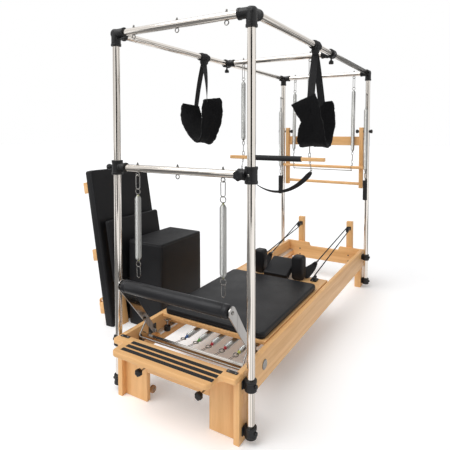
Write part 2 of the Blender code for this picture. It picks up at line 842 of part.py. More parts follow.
def build_ropes():
    steps = 8
    runs = 10
    seat = PULLEY_R - PULLEY_GROOVE + ROPE_R + GAP
    reach = seat / math.cos(math.pi / (2 * steps))
    for side, word in SIDES:
        x = side * RISER_X
        cleat = Vector((side * CLEAT_X, CLEAT_Y, BOARD_TOP + CLEAT_HIGH + ROPE_R + GAP))
        ferrule = Vector(FERRULES[word])
        axle = Vector((x, PULLEY_Y, PULLEY_Z))
        below = math.atan2(axle.z - reach - cleat.z, axle.y - cleat.y)
        above = math.atan2(axle.z + reach - ferrule.z, axle.y - ferrule.y)
        first, last = below - math.pi / 2, above + math.pi / 2
        wrap = []
        for step in range(steps + 1):
            angle = first + (last - first) * step / steps
            wrap.append(axle + Y * reach * math.cos(angle) + Z * reach * math.sin(angle))
        lower = [cleat.lerp(wrap[0], step / runs) for step in range(runs)]
        upper = [wrap[-1].lerp(ferrule, (step + 1) / runs) for step in range(runs)]
        down = (ferrule - wrap[-1]).normalized()
        end = ferrule + down * FERRULE_LONG
        middle = end + down * HAND_LOOP_LONG / 2
        bottom = end + down * HAND_LOOP_LONG
        spread = X * HAND_LOOP_HALF
        loop = [end, middle - spread, bottom - spread, bottom + down * HAND_LOOP_R]
        loop += [bottom + spread, middle + spread, end]
        pieces = [
            tube([*lower, *wrap, *upper], ROPE_R, 2),
            rod(ferrule - down * ROPE_R, end + down * LAP, FERRULE_R, 10),
            tube(smooth_route(loop, 13)[:-1], HAND_LOOP_R, 1, True),
        ]
        make("rope_" + word, ROPE, pieces)


def build_spring_bar():
    half = RAIL_IN - GAP
    front = SPRING_BAR_Y - SPRING_BAR_WIDE / 2
    under = SPRING_BAR_TOP - SPRING_BAR_THICK
    low = SPRING_BAR_TOP - SPRING_BAR_LIP
    pieces = [
        box((-half, half), (front, front + SPRING_BAR_WIDE), (under, SPRING_BAR_TOP)),
        box((-half, half), (front, front + SPRING_BAR_THICK), (low, under + LAP)),
    ]
    for side, _ in SIDES:
        pieces.append(
            box(
                (side * (half - BRACKET_WIDE), side * half),
                (front - LAP, front - LAP + BRACKET_LONG),
                (SPRING_BAR_TOP - BRACKET_DEEP, SPRING_BAR_TOP - LAP),
            )
        )
    make("spring_bar", STEEL, pieces, smooth=False)


def build_bed_springs():
    bar_back = SPRING_BAR_Y + SPRING_BAR_WIDE / 2
    for index in range(BED_SPRINGS):
        x = BED_SPRING_X + index * BED_SPRING_STEP
        start = Vector((x, bar_back + GAP + HOOK_WIRE_R, SPRING_BAR_TOP - SPRING_BAR_THICK / 2))
        body = Vector((x, BED_SPRING_BODY_Y, BED_SPRING_Z))
        radius = BED_SPRING_R - HOOK_WIRE_R
        coil = coil_points(body, Y, X, Z, BED_SPRING_BODY_LONG, radius, BED_SPRING_CURLS, 1)
        end = coil[-1] + Y * BED_SPRING_TAIL
        anchor = Vector((x, end.y, BOARD_BOTTOM - GAP))
        hook = Vector((x, BED_SPRING_HOOK_Y, BED_SPRING_Z))
        points = [start, start + Y * 4 * HOOK_WIRE_R, hook, *coil, end, anchor]
        gap = 1000 * least_gap(coil, HOOK_WIRE_R)
        print(f"bed spring of {BED_SPRING_CURLS} curls: least gap {gap:.1f} mm")
        make(f"bed_spring_{index + 1}", SPRING_STEEL, [tube(points, HOOK_WIRE_R, 1)])


def build_carriage():
    wheel_z = LEDGE_TOP + GAP + WHEEL_R
    wheel_in = RAIL_IN - LEDGE_WIDE + WHEEL_INSET_X
    wheel_out = wheel_in + WHEEL_WIDE
    guide_x = RAIL_IN - GAP - GUIDE_R
    guide_low = LEDGE_TOP + GUIDE_ABOVE_LEDGE
    ends = ((CARRIAGE_FRONT_Y, 1, "front"), (CARRIAGE_BACK_Y, -1, "back"))
    pieces = [
        box((-BOARD_HALF, BOARD_HALF), (CARRIAGE_FRONT_Y, CARRIAGE_BACK_Y), (BOARD_BOTTOM, BOARD_TOP)),
        box(
            (-BOARD_HALF + LEDGE_WIDE, BOARD_HALF - LEDGE_WIDE),
            (CARRIAGE_FRONT_Y + LAP, CARRIAGE_FRONT_Y + FASCIA_THICK),
            (BOARD_BOTTOM - FASCIA_DEEP, BOARD_BOTTOM + LAP),
        ),
    ]
    for side, word in SIDES:
        for edge, inward, end in ends:
            wheel_y = edge + inward * WHEEL_INSET_Y
            guide = Vector((side * guide_x, edge + inward * GUIDE_INSET_Y, guide_low))
            plate_in = wheel_in - 2 * GAP - WHEEL_PLATE_THICK
            pieces += [
                box(
                    (side * plate_in, side * (plate_in + WHEEL_PLATE_THICK)),
                    (wheel_y - WHEEL_PLATE_WIDE / 2, wheel_y + WHEEL_PLATE_WIDE / 2),
                    (wheel_z - WHEEL_PLATE_BELOW, BOARD_BOTTOM + LAP),
                ),
                rod(
                    (side * (plate_in + LAP), wheel_y, wheel_z),
                    (side * (wheel_out + LAP), wheel_y, wheel_z),
                    AXLE_R,
                    8,
                ),
                rod(guide, guide + Z * GUIDE_WIDE, GUIDE_R),
                rod(guide + Z * LAP, (guide.x, guide.y, BOARD_BOTTOM + LAP), GUIDE_STEM_R, 6),
            ]
            middle = (side * (wheel_in + wheel_out) / 2, wheel_y, wheel_z)
            profile = ring_profile(AXLE_R + GAP, [(WHEEL_R, WHEEL_WIDE / 2)])
            wheel = turned(profile, middle, X)
            make(f"carriage_wheel_{end}_{word}", PLASTIC, [wheel], origin=middle)
        pieces.append(
            box(
                (side * CLEAT_X - CLEAT_WIDE / 2, side * CLEAT_X + CLEAT_WIDE / 2),
                (CLEAT_Y - CLEAT_LONG / 2, CLEAT_Y + CLEAT_LONG / 2),
                (BOARD_TOP - LAP, BOARD_TOP + CLEAT_HIGH),
            )
        )
    make("carriage_board", WOOD, pieces)
    size = (2 * PAD_HALF, PAD_LONG, PAD_THICK)
    pad = cushion(size, PAD_CORNER_R, PAD_ROLL, PAD_CROWN, 3)
    place = (0, CARRIAGE_FRONT_Y + PAD_LONG / 2, BOARD_TOP + GAP + PAD_THICK / 2)
    make("carriage_pad", UPHOLSTERY, [moved(pad, place)])
    for side, word in SIDES:
        size = (REST_WIDE, REST_HIGH, REST_THICK)
        rest = cushion(size, REST_CORNER_R, REST_ROLL, REST_CROWN)
        upright = Matrix.Rotation(math.radians(90), 4, "X")
        place = (side * REST_X, REST_Y + REST_THICK / 2, BOARD_TOP + GAP + REST_HIGH / 2)
        make("shoulder_rest_" + word, UPHOLSTERY, [moved(rest, place, upright)])
    pin = Vector((0, HEADREST_Y, BOARD_TOP + GAP + HEADREST_PIN_R))
    tilt = Matrix.Rotation(HEADREST_TILT, 4, "X")
    size = (2 * HEADREST_HALF, HEADREST_LONG, HEADREST_THICK)
    pillow = cushion(size, HEADREST_CORNER_R, HEADREST_ROLL, HEADREST_CROWN)
    centre = tilt @ Vector((0, HEADREST_LONG / 2, HEADREST_THICK / 2 + HEADREST_PIN_R / 2))
    knuckle = rod(pin - X * HINGE_HALF, pin + X * HINGE_HALF, HEADREST_PIN_R, 10)
    leaf = box((-HINGE_HALF, HINGE_HALF), (0, HINGE_LEAF), (0, HEADREST_PIN_R))
    leaf = moved(leaf, pin, tilt)
    make("headrest", UPHOLSTERY, [moved(pillow, pin + centre, tilt), leaf, knuckle], origin=pin)


def build_footbar():
    pivot = Vector((0, PIVOT_Y, PIVOT_Z))
    top = Vector((0, ARM_END_Y, ARM_END_Z))
    along = (top - pivot).normalized()
    normal = X.cross(along)
    roller = rod(top - X * ROLLER_HALF, top + X * ROLLER_HALF, ROLLER_R, 20)
    past = X * (ROLLER_HALF + PAST)
    bore = rod(top - past, top + past, ROLLER_TUBE_R + GAP)
    make("footbar_roller", UPHOLSTERY, [roller], [bore], origin=pivot)
    pieces = [rod(top - X * ARM_X, top + X * ARM_X, ROLLER_TUBE_R)]
    outline = arc((0, 0), ARM_LOW_R, 180, 360, 6) + arc((0, ARM_LONG), ARM_TOP_R, 0, 180, 8)
    for side, _ in SIDES:
        middle = pivot + X * side * (ARM_X - ARM_THICK / 2)
        pieces.append(plate(outline, ARM_THICK, middle, normal, along))
        pieces.append(
            rod(
                pivot + X * side * (ARM_X - LAP),
                pivot + X * side * (RAIL_OUT + GAP + LAP),
                PIVOT_R,
            )
        )
        cap = pivot + X * side * (RAIL_OUT + GAP)
        pieces.append(rod(cap, cap + X * side * CAP_THICK, CAP_R, 16, CAP_R * 0.85))
    make("footbar_frame", STEEL, pieces, origin=pivot)
    pin = pivot + along * STRUT_AT
    low = pin + Y * STRUT_DROP_Y + Z * STRUT_DROP_Z
    reach = ARM_X - ARM_THICK - GAP - STRUT_R - STRUT_INSET
    route = [pin - X * reach, low - X * reach, low + X * reach, pin + X * reach]
    pieces = [tube(route, STRUT_R, 2)]
    for side, _ in SIDES:
        face = pin + X * side * (ARM_X - ARM_THICK - GAP)
        pieces.append(rod(face - X * side * (2 * STRUT_R + STRUT_INSET), face, 2 * STRUT_R, 12))
    make("footbar_strut", STEEL, pieces, origin=pin)


def build_posts():
    for end, where in ((-1, "front"), (1, "back")):
        for side, word in SIDES:
            foot = Vector((side * POST_X, end * POST_Y, POST_FOOT_Z))
            top = Vector((foot.x, foot.y, TOP_Z))
            inward = (-X * side, -Y * end)
            pieces = [
                rod(foot, top - Z * LAP, TUBE_R),
                rod(top - Z * SOCKET_REACH, top + Z * SOCKET_R, SOCKET_R),
            ]
            cuts = []
            for way in inward:
                mouth = top + way * SOCKET_REACH
                pieces.append(rod(top - way * SOCKET_R / 2, mouth, SOCKET_R))
                cuts.append(rod(mouth - way * SOCKET_BORE, mouth + way * PAST, TUBE_R + GAP))
            for height, face in ((UPPER_CLAMP_Z, RAIL_OUT), (LOWER_CLAMP_Z, LEG_OUT)):
                low, high = height - BED_CLAMP_HIGH / 2, height + BED_CLAMP_HIGH / 2
                pieces.append(rod((foot.x, foot.y, low), (foot.x, foot.y, high), CLAMP_R))
                pieces.append(
                    box(
                        (side * (face + GAP), foot.x),
                        (foot.y - CLAMP_ARM_HALF, foot.y + CLAMP_ARM_HALF),
                        (low + 2 * LAP, high - 2 * LAP),
                    )
                )
            if where == "back":
                hole = Vector((foot.x, foot.y, PUSH_PIVOT_Z))
                past = X * (TUBE_R + PAST)
                bore = turning_bore(PUSH_BOLT_R, PUSH_BOLT_SIDES)
                cuts.append(rod(hole - past, hole + past, bore, PUSH_BOLT_SIDES))
                pieces += eye((foot.x, foot.y, POST_EYE_Z), -Y, Z, POST_EYE_NECK)
            make(f"post_{where}_{word}", STEEL, pieces, cuts)


def build_top_tubes():
    start = SOCKET_REACH - SOCKET_BORE + GAP
    for end, where, eyes in (
        (-1, "front", (-FRONT_EYE_X, 0, FRONT_EYE_X)),
        (1, "back", (-BACK_EYE_X, BACK_EYE_X)),
    ):
        y = end * POST_Y
        ends = ((-POST_X + start, y, TOP_Z), (POST_X - start, y, TOP_Z))
        places = [(x, y, TOP_Z) for x in eyes]
        make("top_tube_" + where, STEEL, tube_with_eyes(*ends, places))
    for side, word in SIDES:
        x = side * POST_X
        ends = ((x, -POST_Y + start, TOP_Z), (x, POST_Y - start, TOP_Z))
        make("top_tube_" + word, STEEL, tube_with_eyes(*ends, [(x, LONG_EYE_Y, TOP_Z)]))


def build_crossbars():
    y = -POST_Y
    half = SLIDE_CLAMP_HIGH / 2
    places = [(x, y, LOW_BAR_Z) for x in (-FRONT_SPRING_X, 0, FRONT_SPRING_X)]
    pieces = tube_with_eyes((-BAR_HALF, y, LOW_BAR_Z), (BAR_HALF, y, LOW_BAR_Z), places)
    cuts = []
    for side, _ in SIDES:
        post = Vector((side * POST_X, y, LOW_BAR_Z))
        pieces.append(rod(post - Z * half, post + Z * half, CLAMP_R))
        inward = -X * side
        pieces.append(rod(post + inward * TUBE_R, post + inward * SOCKET_REACH, SOCKET_R))
        pieces += star_knob(post - inward * (CLAMP_R - LAP), -inward)
        cuts.append(rod(post - Z * (half + PAST), post + Z * (half + PAST), TUBE_R + GAP))
    make("low_crossbar", STEEL, pieces, cuts, origin=(0, y, LOW_BAR_Z))
    y = MID_BAR_Y
    half = MID_CLAMP_LONG / 2
    places = [(x, y, TOP_Z) for x in (-MID_EYE_X, MID_EYE_X)]
    pieces = tube_with_eyes((-BAR_HALF, y, TOP_Z), (BAR_HALF, y, TOP_Z), places)
    cuts = []
    for side, _ in SIDES:
        rail = Vector((side * POST_X, y, TOP_Z))
        pieces.append(rod(rail - Y * half, rail + Y * half, CLAMP_R))
        inward = -X * side
        pieces.append(rod(rail + inward * TUBE_R, rail + inward * SOCKET_REACH, SOCKET_R))
        pieces += star_knob(rail - Z * (CLAMP_R - LAP), -Z)
        cuts.append(rod(rail - Y * (half + PAST), rail + Y * (half + PAST), TUBE_R + GAP))
    make("mid_crossbar", STEEL, pieces, cuts, origin=(0, y, TOP_Z))


def build_hanging_springs():
    roll_y = POST_Y - PUSH_DEEP / 2 - GAP - ROLL_BAR_R
    for side, word in SIDES:
        pivot = Vector((side * FRONT_SPRING_X, -POST_Y, LOW_BAR_Z - EYE_DROP))
        wire = hanging_spring(pivot, pivot - Z * FRONT_LONG, 5, FRONT_BODY_AT, FRONT_BODY_LONG, Y)
        make("front_spring_" + word, SPRING_STEEL, [wire], origin=pivot)
        pivot = Vector((side * MID_EYE_X, MID_BAR_Y, TOP_Z - EYE_DROP))
        end = Vector((pivot.x, pivot.y, TRAPEZE_BAR_Z + TRAPEZE_BAR_R + GAP))
        wire = hanging_spring(pivot, end, 4, TRAPEZE_BODY_AT, TRAPEZE_BODY_LONG, Y)
        make("trapeze_spring_" + word, SPRING_STEEL, [wire], origin=pivot)
        pivot = Vector((side * BACK_EYE_X, POST_Y, TOP_Z - EYE_DROP))
        bar = Vector((pivot.x, roll_y, ROLL_BAR_Z))
        end = bar + (pivot - bar).normalized() * (ROLL_BAR_R + GAP)
        wire = hanging_spring(pivot, end, 4, BACK_BODY_AT, BACK_BODY_LONG, Y)
        make("back_spring_" + word, SPRING_STEEL, [wire], origin=pivot)
        reach = TUBE_R + POST_EYE_NECK + EYE_R
        pivot = Vector((side * POST_X, POST_Y - reach, POST_EYE_Z - EYE_R))
        wire = hanging_spring(pivot, pivot - Z * SIDE_LONG, 4, SIDE_BODY_AT, SIDE_BODY_LONG, X)
        grip = pivot - Z * (SIDE_LONG - LAP)
        handle = rod(grip, grip - Z * HANDLE_LONG, HANDLE_R)
        make("side_spring_" + word, SPRING_STEEL, [wire, handle], origin=pivot)
    pivot = Vector((0, POST_Y, TOP_Z - EYE_DROP))
    bar = Vector((0, roll_y, ROLL_BAR_Z))
    low = bar - Z * ROLL_ROD_DROP
    pieces = [rod(bar - X * ROLL_BAR_HALF, bar + X * ROLL_BAR_HALF, ROLL_BAR_R)]
    pieces.append(rod(low - X * BACK_EYE_X, low + X * BACK_EYE_X, ROLL_ROD_R, 8))
    for side, _ in SIDES:
        x = X * side * (BACK_EYE_X - 2 * ROLL_ROD_R)
        pieces.append(rod(bar + x, low + x, ROLL_LINK_R, 8))
    make("roll_down_bar", WOOD, pieces, origin=pivot)


def build_trapeze():
    pivot = Vector((0, MID_BAR_Y, TOP_Z - EYE_DROP))
    bar = Vector((0, MID_BAR_Y, TRAPEZE_BAR_Z))
    pieces = [
        rod(bar - X * TRAPEZE_BAR_HALF, bar + X * TRAPEZE_BAR_HALF, TRAPEZE_BAR_R),
        rod(bar - X * GRIP_HALF, bar + X * GRIP_HALF, GRIP_R, 16),
    ]
    make("trapeze_bar", WOOD, pieces, origin=pivot)
    steps = 12
    scale = STRAP_END_X**2 / (2 * STRAP_SAG)
    middle = []
    for step in range(steps + 1):
        x = STRAP_END_X * (2 * step / steps - 1)
        hang = (math.cosh(x / scale) - 1) / (math.cosh(STRAP_END_X / scale) - 1)
        middle.append(Vector((x, STRAP_END_Z - STRAP_SAG * (1 - hang))))
    outline = band_outline(middle, STRAP_THICK)
    pieces = [plate(outline, STRAP_WIDE, (0, MID_BAR_Y, 0), X, Z)]
    for side, _ in SIDES:
        end = Vector((side * STRAP_END_X, MID_BAR_Y, STRAP_END_Z))
        high = Vector((end.x, end.y, TRAPEZE_BAR_Z - TRAPEZE_BAR_R - GAP))
        pieces.append(rod(end - Z * LAP, high, HOOK_WIRE_R, 6))
    make("trapeze_strap", ROPE, pieces, origin=pivot)


def band_outline(middle, thick):
    """The closed outline of a band that follows the middle line, half its thickness on each side."""
    outer, inner = [], []
    last = len(middle) - 1
    for index, point in enumerate(middle):
        ahead = middle[min(index + 1, last)] - middle[max(index - 1, 0)]
        normal = Vector((-ahead.y, ahead.x)).normalized() * thick / 2
        outer.append(point + normal)
        inner.append(point - normal)
    return [tuple(point) for point in (*outer, *reversed(inner))]


def build_fleece_loops():
    for side, word in SIDES:
        axis = Vector((side * POST_X, LOOP_Y, TOP_Z))
        across = Matrix.Rotation(LOOP_TURN[word], 3, "Z") @ X
        deep = LOOP_TOP_Z - LOOP_BOTTOM_Z
        centre = (0, LOOP_BOTTOM_Z + LOOP_ROUND_R + LOOP_THICK / 2)
        bottom = arc(centre, LOOP_ROUND_R, 180, 360, 8)
        shape = zip(LOOP_NARROWS_TO, LOOP_NARROWS_AT)
        left = [(-LOOP_HALF * share, LOOP_TOP_Z - deep * down) for share, down in shape]
        right = [(-x, z) for x, z in reversed(left)]
        middle = [Vector(point) for point in (*left, *bottom, *right)]
        outline = band_outline(middle, LOOP_THICK)
        pieces = [plate(outline, LOOP_WIDE, (axis.x, axis.y, 0), across, Z)]
        for way in (-1, 1):
            low = Vector((way * LOOP_HALF, LOOP_TOP_Z - LOOP_THICK / 2))
            high = Vector((way * WEB_TOP_HALF, TOP_Z - TUBE_R - WRAP_THICK / 2))
            strip = band_outline([low, high], WEB_THICK)
            pieces.append(plate(strip, WEB_WIDE, (axis.x, axis.y, 0), across, Z))
        bore_r = turning_bore(TUBE_R, ROD_SIDES)
        wrap = rod(axis - Y * WEB_WIDE / 2, axis + Y * WEB_WIDE / 2, bore_r + WRAP_THICK)
        pieces.append(wrap)
        bore = rod(axis - Y * WEB_WIDE, axis + Y * WEB_WIDE, bore_r)
        make("fleece_loop_" + word, FLEECE, pieces, [bore], origin=axis)


def build_push_frame():
    pivot = Vector((0, POST_Y, PUSH_PIVOT_Z))
    inner = PUSH_X - PUSH_WIDE / 2 + LAP
    pieces = [
        box(
            (-inner, inner),
            (POST_Y + PUSH_DEEP / 2 - PUSH_BOARD_THICK, POST_Y + PUSH_DEEP / 2),
            (PUSH_BOARD_Z, PUSH_BOARD_Z + PUSH_BOARD_HIGH),
        ),
        rod((-inner, POST_Y, PUSH_DOWEL_Z), (inner, POST_Y, PUSH_DOWEL_Z), PUSH_DOWEL_R),
    ]
    for side, _ in SIDES:
        pieces.append(
            box(
                (side * (PUSH_X - PUSH_WIDE / 2), side * (PUSH_X + PUSH_WIDE / 2)),
                (POST_Y - PUSH_DEEP / 2, POST_Y + PUSH_DEEP / 2),
                (PUSH_BOTTOM, PUSH_TOP),
            )
        )
        outward = X * side
        knob = pivot + outward * (POST_X + TUBE_R + GAP)
        inner_knob = pivot + outward * (PUSH_X - PUSH_WIDE / 2 - PUSH_BOLT_OUT)
        spacer = pivot + outward * (PUSH_X + PUSH_WIDE / 2 - LAP)
        post = pivot + outward * (POST_X - TUBE_R - GAP)
        pieces += [
            rod(inner_knob - outward * LAP, knob + outward * LAP, PUSH_BOLT_R, PUSH_BOLT_SIDES),
            rod(spacer, post, 2 * PUSH_BOLT_R, 10),
            rod(knob, knob + outward * KNOB_LONG, KNOB_R, 10),
            rod(inner_knob, inner_knob - outward * KNOB_LONG, KNOB_R, 10),
        ]
    make("push_through_frame", WOOD, pieces, origin=pivot)


def build_sitting_box():
    size = (BOX_WIDE, BOX_LONG, BOX_HIGH)
    block = cushion(size, BOARD_CORNER_R, BOX_ROLL, BOX_CROWN, 1, False)
    front = BOX_Y - BOX_LONG / 2
    hole = box(
        (HAND_HOLE_X - HAND_HOLE_WIDE / 2, HAND_HOLE_X + HAND_HOLE_WIDE / 2),
        (front - PAST, front + HAND_HOLE_DEEP),
        (HAND_HOLE_Z - HAND_HOLE_HIGH / 2, HAND_HOLE_Z + HAND_HOLE_HIGH / 2),
    )
    place = (BOX_X, BOX_Y, BOX_HIGH / 2)
    make("sitting_box", UPHOLSTERY, [moved(block, place)], [hole], origin=place)


def leaning_cushion(size, roll, crown, foot, centre):
    """A board's cushion, stood on edge, leaned back with the mat and set at its centre from the foot."""
    upright = Matrix.Rotation(math.radians(90), 4, "Y")
    flat = cushion(size, BOARD_CORNER_R, roll, crown, 1, False)
    return moved(moved(flat, turn=upright), foot, LEAN @ Matrix.Translation(centre))


def below_floor():
    return box((MAT_FOOT_X - 1, MAT_FOOT_X + 1), (MAT_Y - 1, MAT_Y + 1), (-1, 0))


def build_mat_board():
    foot = Vector((MAT_FOOT_X, MAT_Y, 0))
    size = (MAT_LONG, MAT_WIDE, MAT_THICK)
    pieces = [leaning_cushion(size, MAT_ROLL, MAT_CROWN, foot, (-MAT_THICK / 2, 0, MAT_LONG / 2))]
    half = MAT_WIDE / 2 - BATTEN_SHORT
    for place in BATTEN_AT:
        batten = box(
            (-MAT_THICK - BATTEN_THICK, -MAT_THICK + LAP),
            (-half, half),
            (place - BATTEN_WIDE / 2, place + BATTEN_WIDE / 2),
        )
        pieces.append(moved(batten, foot, LEAN))
    make("mat_board", UPHOLSTERY, pieces, [below_floor()], origin=foot)


def build_jumpboard():
    leg_in = MAT_CROWN + GAP
    leg_out = leg_in + JUMP_LEG_THICK
    foot = Vector((MAT_FOOT_X, JUMP_Y, 0))
    size = (JUMP_TOP - JUMP_PAD_LOW, JUMP_WIDE, JUMP_THICK)
    centre = (leg_out + JUMP_THICK / 2 - JUMP_PAD_SUNK, 0, (JUMP_TOP + JUMP_PAD_LOW) / 2)
    pieces = [leaning_cushion(size, JUMP_ROLL, JUMP_CROWN, foot, centre)]
    for side, _ in SIDES:
        y = side * (JUMP_WIDE / 2 - JUMP_LEG_IN)
        leg = box(
            (leg_in, leg_out),
            (y - JUMP_LEG_WIDE / 2, y + JUMP_LEG_WIDE / 2),
            (-PAST, JUMP_TOP - JUMP_LEG_SHORT),
        )
        pieces.append(moved(leg, foot, LEAN))
    make("jumpboard", UPHOLSTERY, pieces, [below_floor()], origin=foot)


def centre_the_set():
    """Moves the middle of the whole footprint to the world origin, with the lowest point at zero."""
    bpy.context.view_layer.update()
    bodies = [obj for obj in PARTS.objects if obj.type == "MESH"]
    corners = [obj.matrix_world @ vert.co for obj in bodies for vert in obj.data.vertices]
    low = [min(corner[axis] for corner in corners) for axis in range(3)]
    high = [max(corner[axis] for corner in corners) for axis in range(3)]
    SET_ORIGIN.location = (-(low[0] + high[0]) / 2, -(low[1] + high[1]) / 2, -low[2])
    print("set origin at", [round(value, 5) for value in SET_ORIGIN.location])


clear_scene()
PARTS = new_collection("combo_pilates_reformer")
HELPERS = new_collection("helpers")
SET_ORIGIN = bpy.data.objects.new("set_origin", None)
PARTS.objects.link(SET_ORIGIN)

build_rails()
build_platform()
build_foot_legs()
build_head_end()
build_risers()
build_ropes()
build_spring_bar()
build_bed_springs()
build_carriage()
build_footbar()
build_posts()
build_top_tubes()
build_crossbars()
build_hanging_springs()
build_trapeze()
build_fleece_loops()
build_push_frame()
build_sitting_box()
build_mat_board()
build_jumpboard()
centre_the_set()
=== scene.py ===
"""Combo pilates reformer, dressed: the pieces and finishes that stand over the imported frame.

Every place below is given about the bed, in metres: X across it, Y along it from the foot end (-Y)
to the head end (+Y), Z up from the floor. A piece moves to the frame's own origin as it is made.
"""

import math

import bpy
import numpy as np
from bpy.props import FloatProperty, FloatVectorProperty, PointerProperty
from bpy.types import Operator, Panel, PropertyGroup
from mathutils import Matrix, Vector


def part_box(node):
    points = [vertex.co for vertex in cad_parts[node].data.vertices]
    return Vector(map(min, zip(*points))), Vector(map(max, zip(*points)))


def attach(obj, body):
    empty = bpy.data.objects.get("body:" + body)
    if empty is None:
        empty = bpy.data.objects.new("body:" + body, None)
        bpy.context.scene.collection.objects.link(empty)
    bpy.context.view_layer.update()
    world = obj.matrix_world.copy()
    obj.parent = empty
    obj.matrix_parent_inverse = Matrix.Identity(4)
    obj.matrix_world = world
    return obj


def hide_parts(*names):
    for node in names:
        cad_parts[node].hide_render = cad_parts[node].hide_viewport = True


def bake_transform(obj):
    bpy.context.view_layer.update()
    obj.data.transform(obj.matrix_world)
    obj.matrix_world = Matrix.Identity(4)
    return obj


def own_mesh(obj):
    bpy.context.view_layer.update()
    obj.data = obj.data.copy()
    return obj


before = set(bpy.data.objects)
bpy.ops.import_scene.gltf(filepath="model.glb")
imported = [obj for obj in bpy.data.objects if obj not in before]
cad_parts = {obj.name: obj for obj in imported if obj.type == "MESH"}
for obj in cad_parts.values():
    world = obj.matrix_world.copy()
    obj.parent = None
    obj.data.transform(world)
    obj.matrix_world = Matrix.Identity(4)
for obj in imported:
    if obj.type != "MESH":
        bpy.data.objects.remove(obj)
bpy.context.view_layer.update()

bl_info = {
    "name": "Combo pilates reformer",
    "version": (1, 0, 0),
    "blender": (4, 5, 0),
    "location": "View3D > Sidebar > Reformer",
    "description": "Dresses the packed reformer, its canopy and its accessories",
    "category": "Object",
}

X, Y, Z = np.eye(3)
SIDES = ((-1, "left"), (1, "right"))
BED = "bed_and_canopy"

# Bed. Pieces that touch stand GAP apart
GAP = 0.0003
RAIL_OUT, RAIL_THICK, RAIL_TOP, RAIL_DEEP = 0.385, 0.030, 0.334, 0.160
RAIL_IN = RAIL_OUT - RAIL_THICK
RAIL_BOTTOM = RAIL_TOP - RAIL_DEEP
LEDGE_WIDE, LEDGE_TOP, LEDGE_DEEP, LEDGE_START_Y = 0.0325, 0.245, 0.054, -0.930
PLATFORM_BACK_Y, PLATFORM_REACH, PLATFORM_THICK, PLATFORM_HALF = -1.185, 0.165, 0.028, 0.300
EAR_REACH, EAR_R, NOTCH_R, CORNER_R = 0.065, 0.012, 0.030, 0.030
STRIP_HALF, STRIP_X, STRIPS_Y = 0.2820, 0.018, (-1.2290, -1.2665, -1.3040)
PLATE_X, PLATE_IN_Y, PLATE_SCREW = 0.3400, 0.0150, 0.019
PLATFORM_BOTTOM = RAIL_TOP - PLATFORM_THICK
FOOT_LEG_THICK, FOOT_LEG_FRONT, FOOT_LEG_BACK = 0.032, 0.030, 0.090
FRONT_BOARD_IN, FRONT_BOARD_THICK, APRON_DEEP = 0.200, 0.028, 0.141
STAR_X, STAR_Z, STAR_LONG, STAR_R = 0.190, 0.205, 0.060, 0.019
HEAD_Y, HEAD_THICK, HEAD_DIP, HEAD_DIP_HALF, HEAD_DIP_SLOPE, HEAD_DIP_R = (
    1.210, 0.030, 0.036, 0.135, 0.030, 0.013)
HEAD_LEG_WIDE, HEAD_LEG_LONG, HEAD_LEG_BACK = 0.055, 0.100, 0.010
RISER_X, RISER_WIDE, RISER_THICK, RISER_TOP = 0.246, 0.058, 0.045, 0.585
RISER_Y = HEAD_Y + HEAD_THICK + GAP
HEAD_BOLTS_Z, LEG_BOLTS_Z, RISER_BOLTS_Z = (0.262, 0.205), (0.215, 0.295), (0.205, 0.300)
PULLEY_R, PULLEY_WIDE, PULLEY_Z, PULLEY_GROOVE = 0.025, 0.018, 0.519, 0.004
PULLEY_Y = RISER_Y - 0.070

# Ropes: where each ferrule starts (the left one 20 mm further in than the solid's) and where each hand
# loop ends, the way that a loop's broad face looks, and two places along the bed that are given with
# the ferrule and the loop, which are baked where they stand
FERRULES = {"left": (-0.195, 0.430, 0.430), "right": (0.233, 0.350, 0.437)}
LOOP_ENDS = {"left": (-0.205, 0.235, 0.363), "right": (0.178, 0.185, 0.370)}
FERRULE_LONG, LOOP_FACE = 0.035, (0.51, -0.86, 0.10)
LOOP_BENDS = {"left": (1.361, -0.039), "right": (1.210, 0.031)}
CARRIAGE_TRAVEL = 0.900

# Springs under the carriage
SPRING_BAR_Y, SPRING_BAR_WIDE, SPRING_BAR_TOP = -1.0625, 0.025, 0.296
BED_SPRING_X, BED_SPRING_STEP, BED_SPRING_Z, BED_SPRING_R = -0.125, 0.0865, 0.270, 0.015
BED_SPRING_Y, BED_SPRING_LONG = -0.920, 0.500

# Carriage
CARRIAGE_FRONT_Y, CARRIAGE_LONG = -0.865, 1.090
CARRIAGE_BACK_Y = CARRIAGE_FRONT_Y + CARRIAGE_LONG
BOARD_BOTTOM, BOARD_TOP = 0.316, 0.338
BOARD_HALF = RAIL_IN - 0.005
FASCIA_THICK = 0.020
PAD_LONG, PAD_HALF, PAD_THICK = 0.865, 0.338, 0.040
WHEEL_R, WHEEL_WIDE, WHEEL_IN_Y, GUIDE_IN_Y = 0.030, 0.018, 0.115, 0.045
REST_X, REST_WIDE, REST_Y, REST_THICK, REST_HIGH = 0.152, 0.090, 0.095, 0.085, 0.180
# The left shoulder rest stands this far from the right one's mirror image
REST_SHIFT = {"left": (-0.022, 0.004, 0.004), "right": (0, 0, 0)}
GUIDE_FRONT_X, GUIDE_AHEAD = 0.300, 0.020
CLEAT_X, CLEAT_Y, CLEAT_HIGH = 0.265, 0.170, 0.030
HEADREST_Y, HEADREST_TILT, HEADREST_LONG, HEADREST_THICK = 0.045, math.radians(19.6), 0.220, 0.045

